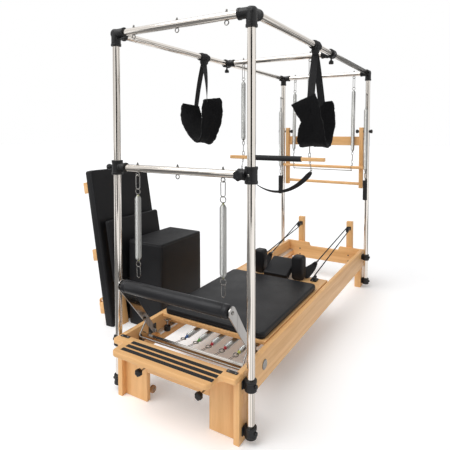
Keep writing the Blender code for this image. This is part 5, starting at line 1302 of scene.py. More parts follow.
class REFORMER_OT_carriage(Operator):
    """Carriage board, its front edge board, pad, guide wheels, wheels and cleats"""

    bl_idname = "reformer.carriage"
    bl_label = "Carriage"

    def execute(self, context):
        deck = board((-BOARD_HALF, CARRIAGE_FRONT_Y, BOARD_BOTTOM), (BOARD_HALF, CARRIAGE_BACK_Y, BOARD_TOP))
        inner = BOARD_HALF - LEDGE_WIDE
        fascia = board((-inner, CARRIAGE_FRONT_Y + 0.001, BOARD_BOTTOM - 0.008),
                       (inner, CARRIAGE_FRONT_Y + FASCIA_THICK, BOARD_BOTTOM + 0.002))
        dress("carriage_deck", "carriage", [deck], "wood_y_flat", ["carriage_board"])
        dress("carriage_front_edge", "carriage", [fascia], "wood_x")
        blocks = [board((side * 0.245, CARRIAGE_FRONT_Y + FASCIA_THICK, BOARD_BOTTOM - 0.030),
                        (side * 0.300, CARRIAGE_FRONT_Y + 0.090, BOARD_BOTTOM + 0.001)) for side, _ in SIDES]
        dress("carriage_blocks", "carriage", blocks, "wood_y")
        pad = cushion((PAD_HALF, PAD_LONG / 2, PAD_THICK / 2), 0.030, 0.0115, (sizes().pad_crown, 0.0),
                      0.0012, (-PAD_THICK / 2 + 0.0135,), 0.0008, 16)
        place = (0, CARRIAGE_FRONT_Y + PAD_LONG / 2, BOARD_TOP + GAP + PAD_THICK / 2)
        dress("carriage_pad_vinyl", "carriage", [pad.moved(place)], "vinyl", ["carriage_pad"], 60)
        wheel_z = LEDGE_TOP + GAP + WHEEL_R
        wheel_in = RAIL_IN - LEDGE_WIDE + 0.004
        guide_x, guide_low = RAIL_IN - GAP - 0.022, LEDGE_TOP + 0.004
        tyre = [(0.0175, 0), (0.0195, 0.001), (0.020, 0.003), (0.0195, 0.027), (0.0185, 0.0295),
                (0.016, 0.030)]
        half = WHEEL_WIDE / 2
        rim = [(0.0046, half), (0.010, half), (0.011, half - 0.002), (0.022, half - 0.002), (0.024, half),
               (0.0285, half), (WHEEL_R, half - 0.0018)]
        rubber, steel = [], []
        for side, word in SIDES:
            for edge, inward, end in ((CARRIAGE_FRONT_Y, 1, "front"), (CARRIAGE_BACK_Y, -1, "back")):
                ahead = end == "front"
                guide = np.array([side * (GUIDE_FRONT_X if ahead else guide_x),
                                  edge + inward * (-GUIDE_AHEAD if ahead else GUIDE_IN_Y), guide_low])
                rubber.append(turned(tyre, guide, Z, 40))
                steel.append(bar(guide + Z * 0.028, (guide[0], guide[1], BOARD_BOTTOM + 0.001), 0.006,
                                 0.001, 20))
                near, far = (edge - 0.034, edge + 0.060) if ahead else (guide[1] - 0.02, guide[1] + 0.02)
                steel.append(board((guide[0] - 0.016, near, BOARD_BOTTOM - 0.003),
                                   (guide[0] + 0.016, far, BOARD_BOTTOM + 0.001), 0.001))
                y = edge + inward * WHEEL_IN_Y
                plate_in = wheel_in - 2 * GAP - 0.006
                steel.append(board((side * plate_in, y - 0.020, wheel_z - 0.012),
                                   (side * (plate_in + 0.006), y + 0.020, BOARD_BOTTOM + 0.001), 0.0012))
                steel.append(bar((side * (plate_in + 0.002), y, wheel_z),
                                 (side * (wheel_in + WHEEL_WIDE + 0.002), y, wheel_z), 0.004, 0.0008, 16))
                middle = (side * (wheel_in + half), y, wheel_z)
                name = f"carriage_wheel_{end}_{word}"
                wheel = ring_of(both_ways(rim), middle, X, 48)
                dress(name.replace("carriage", "running"), name, [wheel], "plastic", [name])
        dress("guide_wheels", "carriage", rubber, "plastic")
        dress("wheel_plates", "carriage", steel, "fitting")
        cleats, bits = [], []
        for side, _ in SIDES:
            base = np.array([side * CLEAT_X, CLEAT_Y, BOARD_TOP])
            flat, out = rounded(0.024, 0.034, 0.009, 6, 1)
            cleats.append(slab(flat, -0.001, 0.010, base, edge=0.002, outward=out))
            waist = [(0.015, 0), (0.013, 0.006), (0.013, 0.012), (0.015, 0.016)]
            cleats.append(turned(waist, base + Z * 0.008, Z, 28))
            horn = curve_through([base + [0, -0.034, 0.0255], base + [0, -0.014, 0.0225],
                                  base + [0, 0.014, 0.0225], base + [0, 0.034, 0.0255]], 24)
            t = np.linspace(-1, 1, 24)
            width = 1 - 0.45 * t**2
            cleats.append(swept(horn, circle(0.0085, 16), X, scale=np.stack([width * 1.9, width * 0.62], -1)))
            bits.append(round_ring(base + [0, -0.036, 0.008], 0.007, 0.0018, Y, Z, 24))
            bits.append(bar(base + [0, -0.046, 0.0], base + [0, -0.046, 0.014], 0.005, 0.001, 16))
            for way in (-1, 1):
                bits.append(screw_head(base + [way * 0.0185, -0.0235, 0.0098], Z, 0.0030, 0.0012))
        dress("rope_cleats", "carriage", cleats, "plastic")
        dress("rope_cleat_bits", "carriage", bits, "fitting")
        return {"FINISHED"}


class REFORMER_OT_rests(Operator):
    """Shoulder rests and the tilting headrest"""

    bl_idname = "reformer.rests"
    bl_label = "Shoulder rests and headrest"

    def execute(self, context):
        # Turns a cushion that lies with its face up so that the face looks along the bed
        upright = np.array([X, -Z, Y]).T
        half, seam = (REST_WIDE / 2, REST_HIGH / 2, REST_THICK / 2), REST_THICK / 2 - 0.014
        for side, word in SIDES:
            rest = cushion(half, 0.024, 0.013, (0.007, 0.004), 0.0015, (-seam, seam), 0.001)
            place = np.array([side * REST_X, REST_Y + REST_THICK / 2, BOARD_TOP + GAP + REST_HIGH / 2])
            rest = rest.moved(place + REST_SHIFT[word], upright)
            rest.points[:, 2] = np.maximum(rest.points[:, 2], BOARD_TOP + GAP)
            dress("shoulder_rest_vinyl_" + word, "carriage", [rest], "vinyl", ["shoulder_rest_" + word],
                  60)
        pin = np.array([0, HEADREST_Y, BOARD_TOP + GAP + 0.004])
        tilt = about(X, HEADREST_TILT)
        pillow = cushion((0.100, HEADREST_LONG / 2, HEADREST_THICK / 2), 0.016, 0.011, (0.006, 0.0), 0.0012,
                         (-HEADREST_THICK / 2 + 0.0135,), 0.0008)
        centre = tilt @ np.array([0, HEADREST_LONG / 2, HEADREST_THICK / 2 + 0.002])
        pillow = pillow.moved(pin + centre, tilt)
        dress("headrest_vinyl", "headrest", [pillow], "vinyl", ["headrest"], 60)
        knuckle = [bar(pin + X * (x - 0.012), pin + X * (x + 0.012), 0.004, 0.0006, 20)
                   for x in np.linspace(-0.067, 0.067, 6)]
        leaf = board((-0.080, 0.0, 0.0), (0.080, 0.050, 0.0035), 0.0008, tilt, pin)
        dress("headrest_hinge", "headrest", [*knuckle, leaf], "fitting")
        return {"FINISHED"}


class REFORMER_OT_footbar(Operator):
    """Footbar: padded roller, steel arms with their pivots, and the folding strut"""

    bl_idname = "reformer.footbar"
    bl_label = "Footbar"

    def execute(self, context):
        pivot = np.array([0, PIVOT_Y, PIVOT_Z])
        along = np.array([0, -math.sin(ARM_LEAN), math.cos(ARM_LEAN)])
        top = pivot + along * ARM_LONG
        normal = np.cross(X, along)
        h, r = ROLLER_HALF, ROLLER_R
        angle = np.linspace(0, math.pi / 2, 7)
        start = [(r - 0.014 * (1 - math.sin(a)), 0.014 * (1 - math.cos(a))) for a in angle]
        seam_dip = [(r, 0.030), (r - 0.0012, 0.032), (r, 0.034)]
        profile = both_ways([(0.0135, 0.002), *start, *seam_dip, (r + 0.0003, h * 0.5)], h)
        dress("footbar_roller_vinyl", "footbar", [turned(profile, top - X * h, X, 56)], "roller_vinyl",
              ["footbar_roller"], 45)
        outline = np.vstack([arc((0, 0), ARM_LOW_R, 180, 360, 14), arc((0, ARM_LONG), ARM_TOP_R, 0, 180, 20)])
        arms = [bar(top - X * (ARM_X - 0.001), top + X * (ARM_X - 0.001), 0.012, 0.001, 28)]
        flange = [(0.019, -0.0135), (0.020, -0.0125), (0.020, -0.0065), (0.019, -0.006)]
        button = [(0.0095, -0.001), (0.0095, 0.002), (0.0075, 0.0038), (0.003, 0.0046), (0, 0.0046)]
        dome = [(0.024, 0), (CAP_R, 0.0012), (CAP_R, 0.0028), (CAP_R * 0.94, 0.0045),
                (CAP_R * 0.80, 0.0060), (CAP_R * 0.5, 0.0070), (0, 0.0073)]
        nut = [(0.0115, 0), (0.0115, 0.007), (0.0095, 0.0085)]
        bolts = []
        for side, _ in SIDES:
            out = X * side
            middle, outer = pivot + out * (ARM_X - ARM_THICK / 2), top + out * ARM_X
            arms.append(slab(outline, -ARM_THICK / 2, ARM_THICK / 2, middle, normal, along, edge=0.0012))
            bolts += [
                turned(flange, outer, out, 36),
                turned(button, outer, out, 28),
                bar(pivot + out * (ARM_X - 0.012), pivot + out * (RAIL_OUT + 0.002), 0.008, 0.001, 24),
                turned(dome, pivot + out * (RAIL_OUT + GAP), out, 48),
                turned(nut, pivot + out * (ARM_X - ARM_THICK), -out, 6),
            ]
        dress("footbar_arms", "footbar", arms, "polished", ["footbar_frame"])
        dress("footbar_bolts", "footbar", bolts, "fitting")
        pin = pivot + along * STRUT_AT
        low = pin + Y * STRUT_DROP[0] + Z * STRUT_DROP[1]
        reach = ARM_X - ARM_THICK - GAP - STRUT_R - STRUT_INSET
        fall = unit(low - pin)
        turn = np.linspace(0, math.pi / 2, 8)[:, None]
        corner = low - X * (reach - STRUT_BEND) - fall * STRUT_BEND
        bend = corner - X * STRUT_BEND * np.cos(turn) + fall * STRUT_BEND * np.sin(turn)
        left = np.vstack([pin - X * reach, bend])
        path = np.vstack([left, (left * [-1, 1, 1])[::-1]])
        disc = [(0.0085, 0), (0.0085, 0.012), (0.006, 0.0138), (0, 0.0140)]
        discs = [turned(disc, pin + X * side * (ARM_X - ARM_THICK - GAP), -X * side, 28) for side, _ in SIDES]
        share = np.linspace(0, 1, 6, endpoint=False)[:, None]
        fine = np.vstack([*[a + (b - a) * share for a, b in zip(path, path[1:])], path[-1:]])
        rod = wire(fine, STRUT_R, unit(np.cross(X, fall)), 14)
        dress("footbar_strut_rod", "footbar_strut", [rod, *discs], "fitting", ["footbar_strut"])
        flat, out = rounded(*BRACKET_HALF, 0.006, 4, 1)
        plates, heads = [], []
        for side, _ in SIDES:
            middle = np.array([side * (RAIL_IN - 0.0013), PIVOT_Y - 0.012, PIVOT_Z + 0.012])
            plates.append(slab(flat, -0.0012, 0.0012, middle, Y, Z, edge=0.0005, outward=out))
            for y, z in BRACKET_SCREWS:
                heads.append(screw_head(middle + [-side * 0.001, y, z], -X * side, 0.0040, 0.0016))
        dress("footbar_brackets", BED, plates, "dark_plate")
        dress("footbar_bracket_screws", BED, heads, "fitting")
        return {"FINISHED"}


class REFORMER_OT_canopy(Operator):
    """Canopy posts and top tubes, corner sockets, clamps and eyebolts"""

    bl_idname = "reformer.canopy"
    bl_label = "Canopy"

    def execute(self, context):
        tubes, sockets, clamps, screws, plugs, eyes = [], [], [], [], [], []
        thick, seat = SOCKET_R + 0.0022, SOCKET_REACH - 0.020
        dome = [(SOCKET_R - 0.001, 0), (thick, 0.0014), (thick, 0.0120), (SOCKET_R, 0.0142),
                (SOCKET_R, 0.078), (SOCKET_R * 0.93, 0.086), (SOCKET_R * 0.72, 0.0915), (0, 0.094)]
        for end in (-1, 1):
            for side, _ in SIDES:
                foot = np.array([side * POST_X, end * POST_Y, POST_FOOT_Z])
                top = np.array([foot[0], foot[1], TOP_Z])
                tubes.append(tube(foot, top - Z * 0.030))
                plugs.append(bar(foot, foot + Z * 0.006, TUBE_R + 0.0016, 0.0012, 40))
                sockets.append(turned(dome, top - Z * SOCKET_REACH, Z, 44))
                for way in (-X * side, -Y * end):
                    sockets.append(turned(dome, top + way * SOCKET_REACH, -way, 44))
                    out = -Y * end if abs(way[0]) > 0.5 else -X * side
                    screws.append(screw_head(top + way * seat - out * SOCKET_R, -out, 0.004, 0.0015))
                    screws.append(screw_head(top + way * seat + Z * SOCKET_R, Z, 0.004, 0.0015))
                screws.append(screw_head(top - Z * seat + Y * end * SOCKET_R, Y * end, 0.004, 0.0015))
                for height in CLAMP_HEIGHTS:
                    low, high = height - CLAMP_HIGH / 2, height + CLAMP_HIGH / 2
                    x, y, _ = foot
                    clamps.append(sleeve((x, y, low), (x, y, high), CLAMP_R - 0.002, 0.002, 0.012))
                    clamps.append(board((side * (RAIL_OUT + GAP), y - 0.016, low + 0.004),
                                        (x, y + 0.016, high - 0.004), 0.003))
                    clamps.append(board((side * (RAIL_OUT + GAP), y - 0.026, low + 0.006),
                                        (side * (RAIL_OUT + 0.007), y + 0.026, high - 0.006), 0.002))
                    ear = np.array([x + side * (CLAMP_R - 0.004), y + end * 0.004, height])
                    clamps.append(bar(ear, ear + X * side * 0.010, 0.0105, 0.002, 28))
                    screws.append(screw_head(ear + X * side * 0.0098, X * side, 0.0062, 0.002))
                    for z in (height - 0.016, height + 0.016):
                        place = (x, y + end * (CLAMP_R - 0.0022), z)
                        screws.append(screw_head(place, Y * end, 0.0045, 0.002))
                if end > 0:
                    eyes += eyebolt((foot[0], foot[1], POST_EYE_Z), -Y, Z, POST_EYE_NECK)
        dress("post_tubes", BED, tubes, "steel_z",
              ["post_front_left", "post_front_right", "post_back_left", "post_back_right"])
        start = SOCKET_REACH - 0.045
        x, y = POST_X - start, POST_Y - start
        crosswise = [tube((-x, end * POST_Y, TOP_Z), (x, end * POST_Y, TOP_Z)) for end in (-1, 1)]
        dress("top_tubes_across", BED, crosswise, "steel_x", ["top_tube_front", "top_tube_back"])
        lengthwise = [tube((side * POST_X, -y, TOP_Z), (side * POST_X, y, TOP_Z)) for side, _ in SIDES]
        dress("top_tubes_along", BED, lengthwise, "steel_y", ["top_tube_left", "top_tube_right"])
        for y, places in ((-POST_Y, (-FRONT_EYE_X, 0, FRONT_EYE_X)), (POST_Y, (-BACK_EYE_X, BACK_EYE_X))):
            for x in places:
                eyes += eyebolt((x, y, TOP_Z), -Z, X)
        for side, _ in SIDES:
            eyes += eyebolt((side * POST_X, LONG_EYE_Y, TOP_Z), -Z, Y)
        dress("corner_sockets", BED, sockets, "plastic")
        dress("bed_clamps", BED, clamps, "plastic")
        dress("post_plugs", BED, plugs, "plastic")
        dress("clamp_screws", BED, screws, "black_screw")
        dress("canopy_eyebolts", BED, eyes, "fitting")
        return {"FINISHED"}


class REFORMER_OT_crossbars(Operator):
    """Low crossbar between the front posts and the sliding crossbar between the top tubes"""

    bl_idname = "reformer.crossbars"
    bl_label = "Crossbars"

    def execute(self, context):
        reach = POST_X - 0.025
        low_eyes, mid_eyes = (-FRONT_SPRING_X, 0, FRONT_SPRING_X), (-MID_EYE_X, MID_EYE_X)
        for body, y, z, eyes_x, way, long, rim in (
            ("low_crossbar", -POST_Y, LOW_BAR_Z, low_eyes, Z, LOW_CLAMP_HIGH, 0.013),
            ("mid_crossbar", MID_BAR_Y, TOP_Z, mid_eyes, Y, MID_CLAMP_LONG, 0.011),
        ):
            dress(body + "_tube", body, [tube((-reach, y, z), (reach, y, z))], "steel_x", [body])
            clamps, steel = [], []
            for x in eyes_x:
                steel += eyebolt((x, y, z), -Z, X)
            for side, _ in SIDES:
                held, inward = np.array([side * POST_X, y, z]), -X * side
                clamps.append(collar(held, way, long, rim))
                clamps.append(sleeve(held + inward * (TUBE_R + 0.004), held + inward * SOCKET_REACH,
                                     SOCKET_R, 0.0022, 0.011))
                if body == "mid_crossbar":
                    clamps += stem_knob(held - Z * (CLAMP_R - 0.002), -Z)
                    faces = (-inward,)
                elif side < 0:
                    clamps += stem_knob(held - inward * (CLAMP_R - 0.002), -inward)
                    faces = (Y,)
                else:
                    knob = held + inward * 0.044
                    clamps += [bar(knob - Y * 0.020, knob - Y * 0.036, 0.009, 0.001, 24),
                               lobed_knob(knob - Y * 0.034, -Y, 0.0245, 0.020, 6)]
                    faces = (-Y, Y)
                steel += [screw_head(held + face * (CLAMP_R - 0.0004), face, 0.006, 0.0025) for face in faces]
            dress(body + "_clamps", body, clamps, "plastic")
            dress(body + "_fittings", body, steel, "fitting")
        return {"FINISHED"}


class REFORMER_OT_hanging_springs(Operator):
    """Springs on the low crossbar, on the trapeze, on the roll-down bar and at the back posts"""

    bl_idname = "reformer.hanging_springs"
    bl_label = "Hanging springs"

    def execute(self, context):
        for side, word in SIDES:
            pivot = np.array([side * FRONT_SPRING_X, -POST_Y, LOW_BAR_Z - EYE_DROP + EYE_WIRE_R])
            body = "front_spring_" + word
            hang(body, body, pivot, pivot - Z * (FRONT_LONG - 0.004), FRONT_BODY, Y, snap=0.025)
            pivot = np.array([side * MID_EYE_X, MID_BAR_Y, TOP_Z - EYE_DROP + EYE_WIRE_R])
            end = np.array([pivot[0], pivot[1], TRAPEZE_Z + 0.016])
            hang("trapeze_spring_" + word, "trapeze", pivot, end, TRAPEZE_BODY, Y, (0.026, 0.045, 0.026))
            pivot = np.array([side * BACK_EYE_X, POST_Y, TOP_Z - EYE_DROP + EYE_WIRE_R])
            bar_at = np.array([pivot[0], ROLL_BAR_Y, ROLL_BAR_Z])
            end = bar_at + unit(pivot - bar_at) * (ROLL_BAR_R + 0.001)
            hang("back_spring_" + word, "roll_down", pivot, end, BACK_BODY, Y, (0.024, 0.050, 0.024, 0.024))
            pivot = np.array([side * POST_X, POST_Y - TUBE_R - POST_EYE_NECK - EYE_R,
                              POST_EYE_Z - EYE_R + EYE_WIRE_R])
            body = "side_spring_" + word
            hang(body, body, pivot, pivot - Z * SIDE_LONG, SIDE_BODY, X, (0.024, 0.044, 0.024))
            grip = pivot - Z * (SIDE_LONG + 0.001)
            rim = [(0.0165, 0), (0.0195, 0.0025), (HANDLE_R, 0.006), (HANDLE_R - 0.0012, 0.020),
                   (HANDLE_R - 0.0012, 0.160), (HANDLE_R, 0.174), (0.0195, 0.1785), (0.0165, 0.181),
                   (0, 0.181)]
            rib = [(HANDLE_R - 0.003, -0.0012), (HANDLE_R - 0.0002, -0.0006), (HANDLE_R - 0.0002, 0.0006),
                   (HANDLE_R - 0.003, 0.0012)]
            ribs = [ring_of(rib, grip - Z * z, Z, 36) for z in HANDLE_RIBS]
            dress(body + "_handle", body, [turned(rim, grip, -Z, 36), *ribs], "grip")
        return {"FINISHED"}


class REFORMER_OT_trapeze(Operator):
    """Trapeze bar with its grip and safety strap"""

    bl_idname = "reformer.trapeze"
    bl_label = "Trapeze"

    def execute(self, context):
        middle = np.array([0, MID_BAR_Y, TRAPEZE_Z])
        section, out = rounded(0.0155, 0.0135, 0.0050, 5, 1)
        stick = slab(section, -TRAPEZE_HALF, TRAPEZE_HALF, middle, Y, Z, edge=0.0035, outward=out)
        dress("trapeze_stick", "trapeze", [stick], "wood_x", ["trapeze_bar"])
        r, long = GRIP_R, 2 * GRIP_HALF
        half = [(0.0155, 0.0), (r - 0.004, 0.0), (r - 0.001, 0.0015), (r, 0.005)]
        profile = [*half, (r - 0.0008, long / 2), *[(a, long - b) for a, b in reversed(half)]]
        dress("trapeze_grip", "trapeze", [turned(profile, middle - X * GRIP_HALF, X, 44)], "grip")
        # The strap hangs as a catenary: its height is the hyperbolic cosine of the place across
        scale = STRAP_END_X**2 / (2 * STRAP_SAG)
        x = np.linspace(-STRAP_END_X, STRAP_END_X, 64)
        hang = (np.cosh(x / scale) - 1) / (math.cosh(STRAP_END_X / scale) - 1)
        path = np.stack([x, np.full(64, MID_BAR_Y), STRAP_END_Z - STRAP_SAG * (1 - hang)], -1)
        lean = -0.55 - 0.55 * (x / STRAP_END_X) ** 2 * np.sign(x)
        pinch = 1 - 0.45 * np.clip((np.abs(x) - STRAP_END_X + 0.030) / 0.030, 0, 1) ** 2
        band, _ = rounded(STRAP_WIDE / 2, 0.0019, 0.0012, 3, 6)
        strap = swept(path, band, Y, scale=np.stack([pinch, np.ones(64)], -1), lean=lean)
        made = dress("trapeze_strap_webbing", "trapeze", [strap], "webbing", ["trapeze_strap"])
        run = float(np.linalg.norm(np.diff(path, axis=0), axis=1).sum())
        steel = []
        for side, _ in SIDES:
            end = np.array([side * STRAP_END_X, MID_BAR_Y, STRAP_END_Z])
            x = side * STRAP_EYE_X
            high = np.array([x, MID_BAR_Y, TRAPEZE_Z - 0.014])
            steel += chain(high, end + Z * 0.010, X, (0.022, 0.034, 0.020))
            steel.append(round_ring(end + Z * 0.004, 0.0115, 0.0018, Y, Z, 28))
            for z in (-1, 1):
                eye, seat = (x, MID_BAR_Y, TRAPEZE_Z + z * 0.0185), (x, MID_BAR_Y, TRAPEZE_Z + z * 0.0137)
                steel.append(round_ring(eye, 0.0052, 0.0016, X, Z, 20))
                steel.append(washer(seat, Z * z, 0.002, 0.006, 0.0012, 24))
        dress("trapeze_links", "trapeze", steel, "fitting")
        return {"FINISHED"}


class REFORMER_OT_roll_down(Operator):
    """Roll-down bar with the thin rod below it"""

    bl_idname = "reformer.roll_down"
    bl_label = "Roll-down bar"

    def execute(self, context):
        middle = np.array([0, ROLL_BAR_Y, ROLL_BAR_Z])
        stick = bar(middle - X * ROLL_BAR_HALF, middle + X * ROLL_BAR_HALF, ROLL_BAR_R, 0.004, 36)
        dress("roll_down_stick", "roll_down", [stick], "wood_x_upright", ["roll_down_bar"])
        low = middle - Z * ROLL_ROD_DROP
        steel = [bar(low - X * BACK_EYE_X, low + X * BACK_EYE_X, 0.004, 0.001, 18)]
        for side, _ in SIDES:
            x = X * side * (BACK_EYE_X - 0.008)
            steel.append(link(middle + x + Z * (ROLL_BAR_R + 0.004), low + x - Z * 0.0055, Y,
                              2 * ROLL_BAR_R + 0.006, 0.0018))
        dress("roll_down_rod", "roll_down", steel, "fitting")
        return {"FINISHED"}


class REFORMER_OT_push_frame(Operator):
    """Push-through frame between the back posts, with its bolts and knobs"""

    bl_idname = "reformer.push_frame"
    bl_label = "Push-through frame"

    def execute(self, context):
        body = "push_through_frame"
        inner, outer, back = PUSH_X - PUSH_WIDE / 2, PUSH_X + PUSH_WIDE / 2, POST_Y + PUSH_DEEP / 2
        front = POST_Y - PUSH_DEEP / 2
        uprights = [board((side * inner, front, PUSH_LOW), (side * outer, back, PUSH_HIGH), 0.004)
                    for side, _ in SIDES]
        dress("push_frame_uprights", body, uprights, "wood_z", ["push_through_frame"])
        reach = inner + 0.001
        plank = board((-reach, back - 0.022, PUSH_BOARD_Z), (reach, back, PUSH_BOARD_Z + PUSH_BOARD_HIGH))
        dowel = bar((-reach, POST_Y, PUSH_DOWEL_Z), (reach, POST_Y, PUSH_DOWEL_Z), 0.014, 0.001, 36)
        dress("push_frame_crosspieces", body, [plank, dowel], "wood_x_upright")
        steel, knobs = [], []
        for side, _ in SIDES:
            out = X * side
            pivot = np.array([0, POST_Y, PUSH_PIVOT_Z])
            knob = pivot + out * (POST_X + TUBE_R + GAP)
            inside = pivot + out * (inner - 0.006)
            steel.append(bar(inside - out * 0.002, knob + out * 0.002, 0.005, 0.0008, 20))
            steel.append(bar(pivot + out * (outer - 0.002), pivot + out * (POST_X - TUBE_R - GAP), 0.010,
                             0.001, 28))
            steel.append(washer(inside + out * 0.0046, out, 0.0052, 0.0115, 0.0016, 28))
            knobs.append(lobed_knob(knob, out, KNOB_R, KNOB_LONG, 8))
            knobs.append(lobed_knob(inside, -out, KNOB_R, KNOB_LONG, 8))
            for z in (PUSH_DOWEL_Z, PUSH_BOARD_Z + 0.022, PUSH_BOARD_Z + 0.061):
                y = POST_Y if z < 1 else back - 0.011
                steel.append(screw_head((side * outer, y, z), out, 0.0045, 0.0018))
        dress("push_frame_bolts", body, steel, "fitting")
        dress("push_frame_knobs", body, knobs, "plastic")
        return {"FINISHED"}


class REFORMER_OT_fleece_loops(Operator):
    """Fleece loops with their webbing and the wraps round the top tubes"""

    bl_idname = "reformer.fleece_loops"
    bl_label = "Fleece loops"

    # Along the pad from one top to the other: place across, height, share of the width, turn, and how
    # far the pad lies off the loop's plane
    PLAN = {
        "left": (
            (-0.164, 1.664, 0.84, 0.62, 0.0), (-0.170, 1.636, 1.02, 0.50, 0.0),
            (-0.158, 1.570, 1.06, 0.22, 0.0), (-0.118, 1.490, 0.98, 0.05, 0.0),
            (-0.066, 1.420, 0.84, -0.10, 0.0), (-0.008, 1.392, 0.76, -0.15, 0.0),
            (0.042, 1.420, 0.80, -0.15, 0.0), (0.072, 1.490, 0.94, -0.15, 0.0),
            (0.092, 1.570, 1.04, -0.20, 0.0), (0.100, 1.650, 1.02, -0.40, 0.0),
            (0.092, 1.694, 0.80, -0.50, 0.0)),
        "right": (
            (-0.092, 1.652, 0.84, 0.10, -0.030), (-0.100, 1.620, 1.00, 0.10, -0.033),
            (-0.098, 1.560, 1.04, 0.05, -0.033), (-0.088, 1.480, 1.02, 0.00, -0.030),
            (-0.058, 1.402, 1.04, 0.00, -0.016), (0.0, 1.380, 1.10, 0.00, -0.002),
            (0.060, 1.402, 1.12, 0.00, 0.008), (0.080, 1.470, 1.00, 0.00, 0.006),
            (0.088, 1.530, 0.82, 0.00, 0.006), (0.094, 1.600, 0.96, 0.00, 0.030),
            (0.094, 1.660, 1.06, 0.00, 0.056)),
    }
    # How far each strap's foot stands off the loop's plane, at its first and its second top
    STRAP_AT = {"left": (-0.045, 0.040), "right": (0.0, -0.042)}

    def execute(self, context):
        for side, word in SIDES:
            axis = np.array([side * POST_X, LOOP_Y, TOP_Z])
            across = about(Z, LOOP_TURN[word]) @ X
            normal = np.cross(across, Z)
            plan = np.array(self.PLAN[word])
            path = axis * [1, 1, 0] + plan[:, :1] * across + plan[:, 1:2] * Z + plan[:, 4:] * normal
            path = curve_through(path, 90)
            fine = np.linspace(0, 1, 90)
            width, lean = (np.interp(fine, np.linspace(0, 1, len(plan)), plan[:, i]) for i in (2, 3))
            thick = 1 - 0.35 * np.exp(-(np.minimum(fine, 1 - fine) / 0.03) ** 2)
            section, _ = rounded(LOOP_HALF, LOOP_THICK, LOOP_THICK - 0.0002, 6, 22)
            curl = LOOP_CURL * (section[:, 0] / LOOP_HALF) ** 2
            section = section + np.stack([np.zeros(len(section)), curl], -1)
            made = swept(path, section, normal, scale=np.stack([width, thick], -1), lean=lean)
            centre = path[np.argmin(((made.points[:, None, :] - path[None, ::6]) ** 2).sum(-1), 1) * 6]
            off = made.points - centre
            away = off / np.maximum(np.linalg.norm(off, axis=1, keepdims=True), 1e-6)
            tufts = sum(share * ripples(made.points, size, seed) for size, seed, share in TUFTS)
            made.points = made.points + away * (tufts * sizes().pile * 0.7)[:, None]
            body = "fleece_loop_" + word
            dress(body + "_pile", body, [made], "fleece", [body], 180)
            straps = []
            for way in (-1, 1):
                foot = path[0 if way < 0 else -1] - Z * 0.030 + normal * self.STRAP_AT[word][way > 0]
                high = axis - Z * (TUBE_R + 0.030) + across * way * 0.010
                rise = np.linspace(0, 1, 24)[:, None]
                bow = 0.008 * np.sin(rise * math.pi) * across * way
                line = foot + (high - foot) * rise + bow
                taper = np.interp(rise[:, 0], [0, 0.2, 0.8, 1], [1.0, 1.0, 0.95, 0.85])
                twist = (1.1 if way > 0 else 0.25) * (1 - rise[:, 0]) if word == "left" else 0.1 * rise[:, 0]
                band, _ = rounded(0.0225, 0.0017, 0.0011, 3, 6)
                straps.append(swept(line, band, normal, scale=np.stack([taper, np.ones(24)], -1), lean=twist))
            r = TUBE_R + 0.0008
            for shift, grow, tilt in ((-0.040, 0.001, 0.55), (-0.018, 0.004, -0.35), (0.012, 0.005, 0.40),
                                      (0.036, 0.001, -0.30)):
                layer = [(r, -0.017), (r + 0.0045 + grow, -0.0165), (r + 0.0060 + grow, -0.012),
                         (r + 0.0064 + grow, 0.010), (r + 0.0045 + grow, 0.0165), (r, 0.017)]
                way = unit(Y + X * 0.16 * side * tilt + Z * 0.3 * tilt)
                straps.append(ring_of(layer, axis + Y * shift, way, 40))
            gather = [(0.010, 0), (0.026, 0.006), (0.031, 0.016), (0.028, 0.028), (0.022, 0.040),
                      (0.017, 0.050), (0.010, 0.054)]
            knot = turned(gather, axis - Z * (TUBE_R - 0.004), -Z, 28, 5, 0.08)
            knot.points = axis + (knot.points - axis) * [0.75, 1.25, 1.0]
            straps.append(knot)
            dress(body + "_webbing", body, straps, "webbing")
        return {"FINISHED"}


class REFORMER_OT_sitting_box(Operator):
    """Sitting box with its seams and the hand hole"""

    bl_idname = "reformer.sitting_box"
    bl_label = "Sitting box"

    def execute(self, context):
        half, seam = (BOX_WIDE / 2, BOX_LONG / 2, BOX_HIGH / 2), BOX_HIGH / 2 - 0.016
        block = cushion(half, 0.016, 0.012, (0.004, 0.0), 0.0012, (-seam, seam))
        made = dress("sitting_box_vinyl", "sitting_box", [block.moved((BOX_X, BOX_Y, BOX_HIGH / 2))], "vinyl",
                     ["sitting_box"], 50)
        front = BOX_Y - BOX_LONG / 2
        oval, _ = rounded(HOLE_WIDE / 2, HOLE_HIGH / 2, HOLE_HIGH / 2, 12, 2)
        middle = np.array([HOLE_X, front, HOLE_Z])
        cut(made, slab(oval * 1.04, -HOLE_DEEP, 0.02, middle, X, Z, edge=0.0005))
        welt = np.stack([oval[:, 0] * 1.04, oval[:, 1] * 1.10], -1)
        path = middle + welt[:, :1] * X + welt[:, 1:] * Z - Y * 0.0006
        ring = wire(path, 0.0022, Y, 8, True)
        dress("hand_hole_welt", "sitting_box", [ring], "vinyl")
        lining = slab(oval * 0.98, -0.001, 0.001, middle + Y * (HOLE_DEEP - 0.002), X, Z, edge=0.0004)
        dress("hand_hole_lining", "sitting_box", [lining], "wood_x_upright")
        t = np.linspace(-1, 1, 30)
        line = middle + np.stack([t * 0.050, 0.004 + 0.004 * t**2, 0.004 * (1 - t**2)], -1)
        band, _ = rounded(0.0070, 0.0012, 0.0008, 3, 3)
        dress("hand_hole_strap", "sitting_box", [swept(line, band, Z)], "webbing")
        return {"FINISHED"}


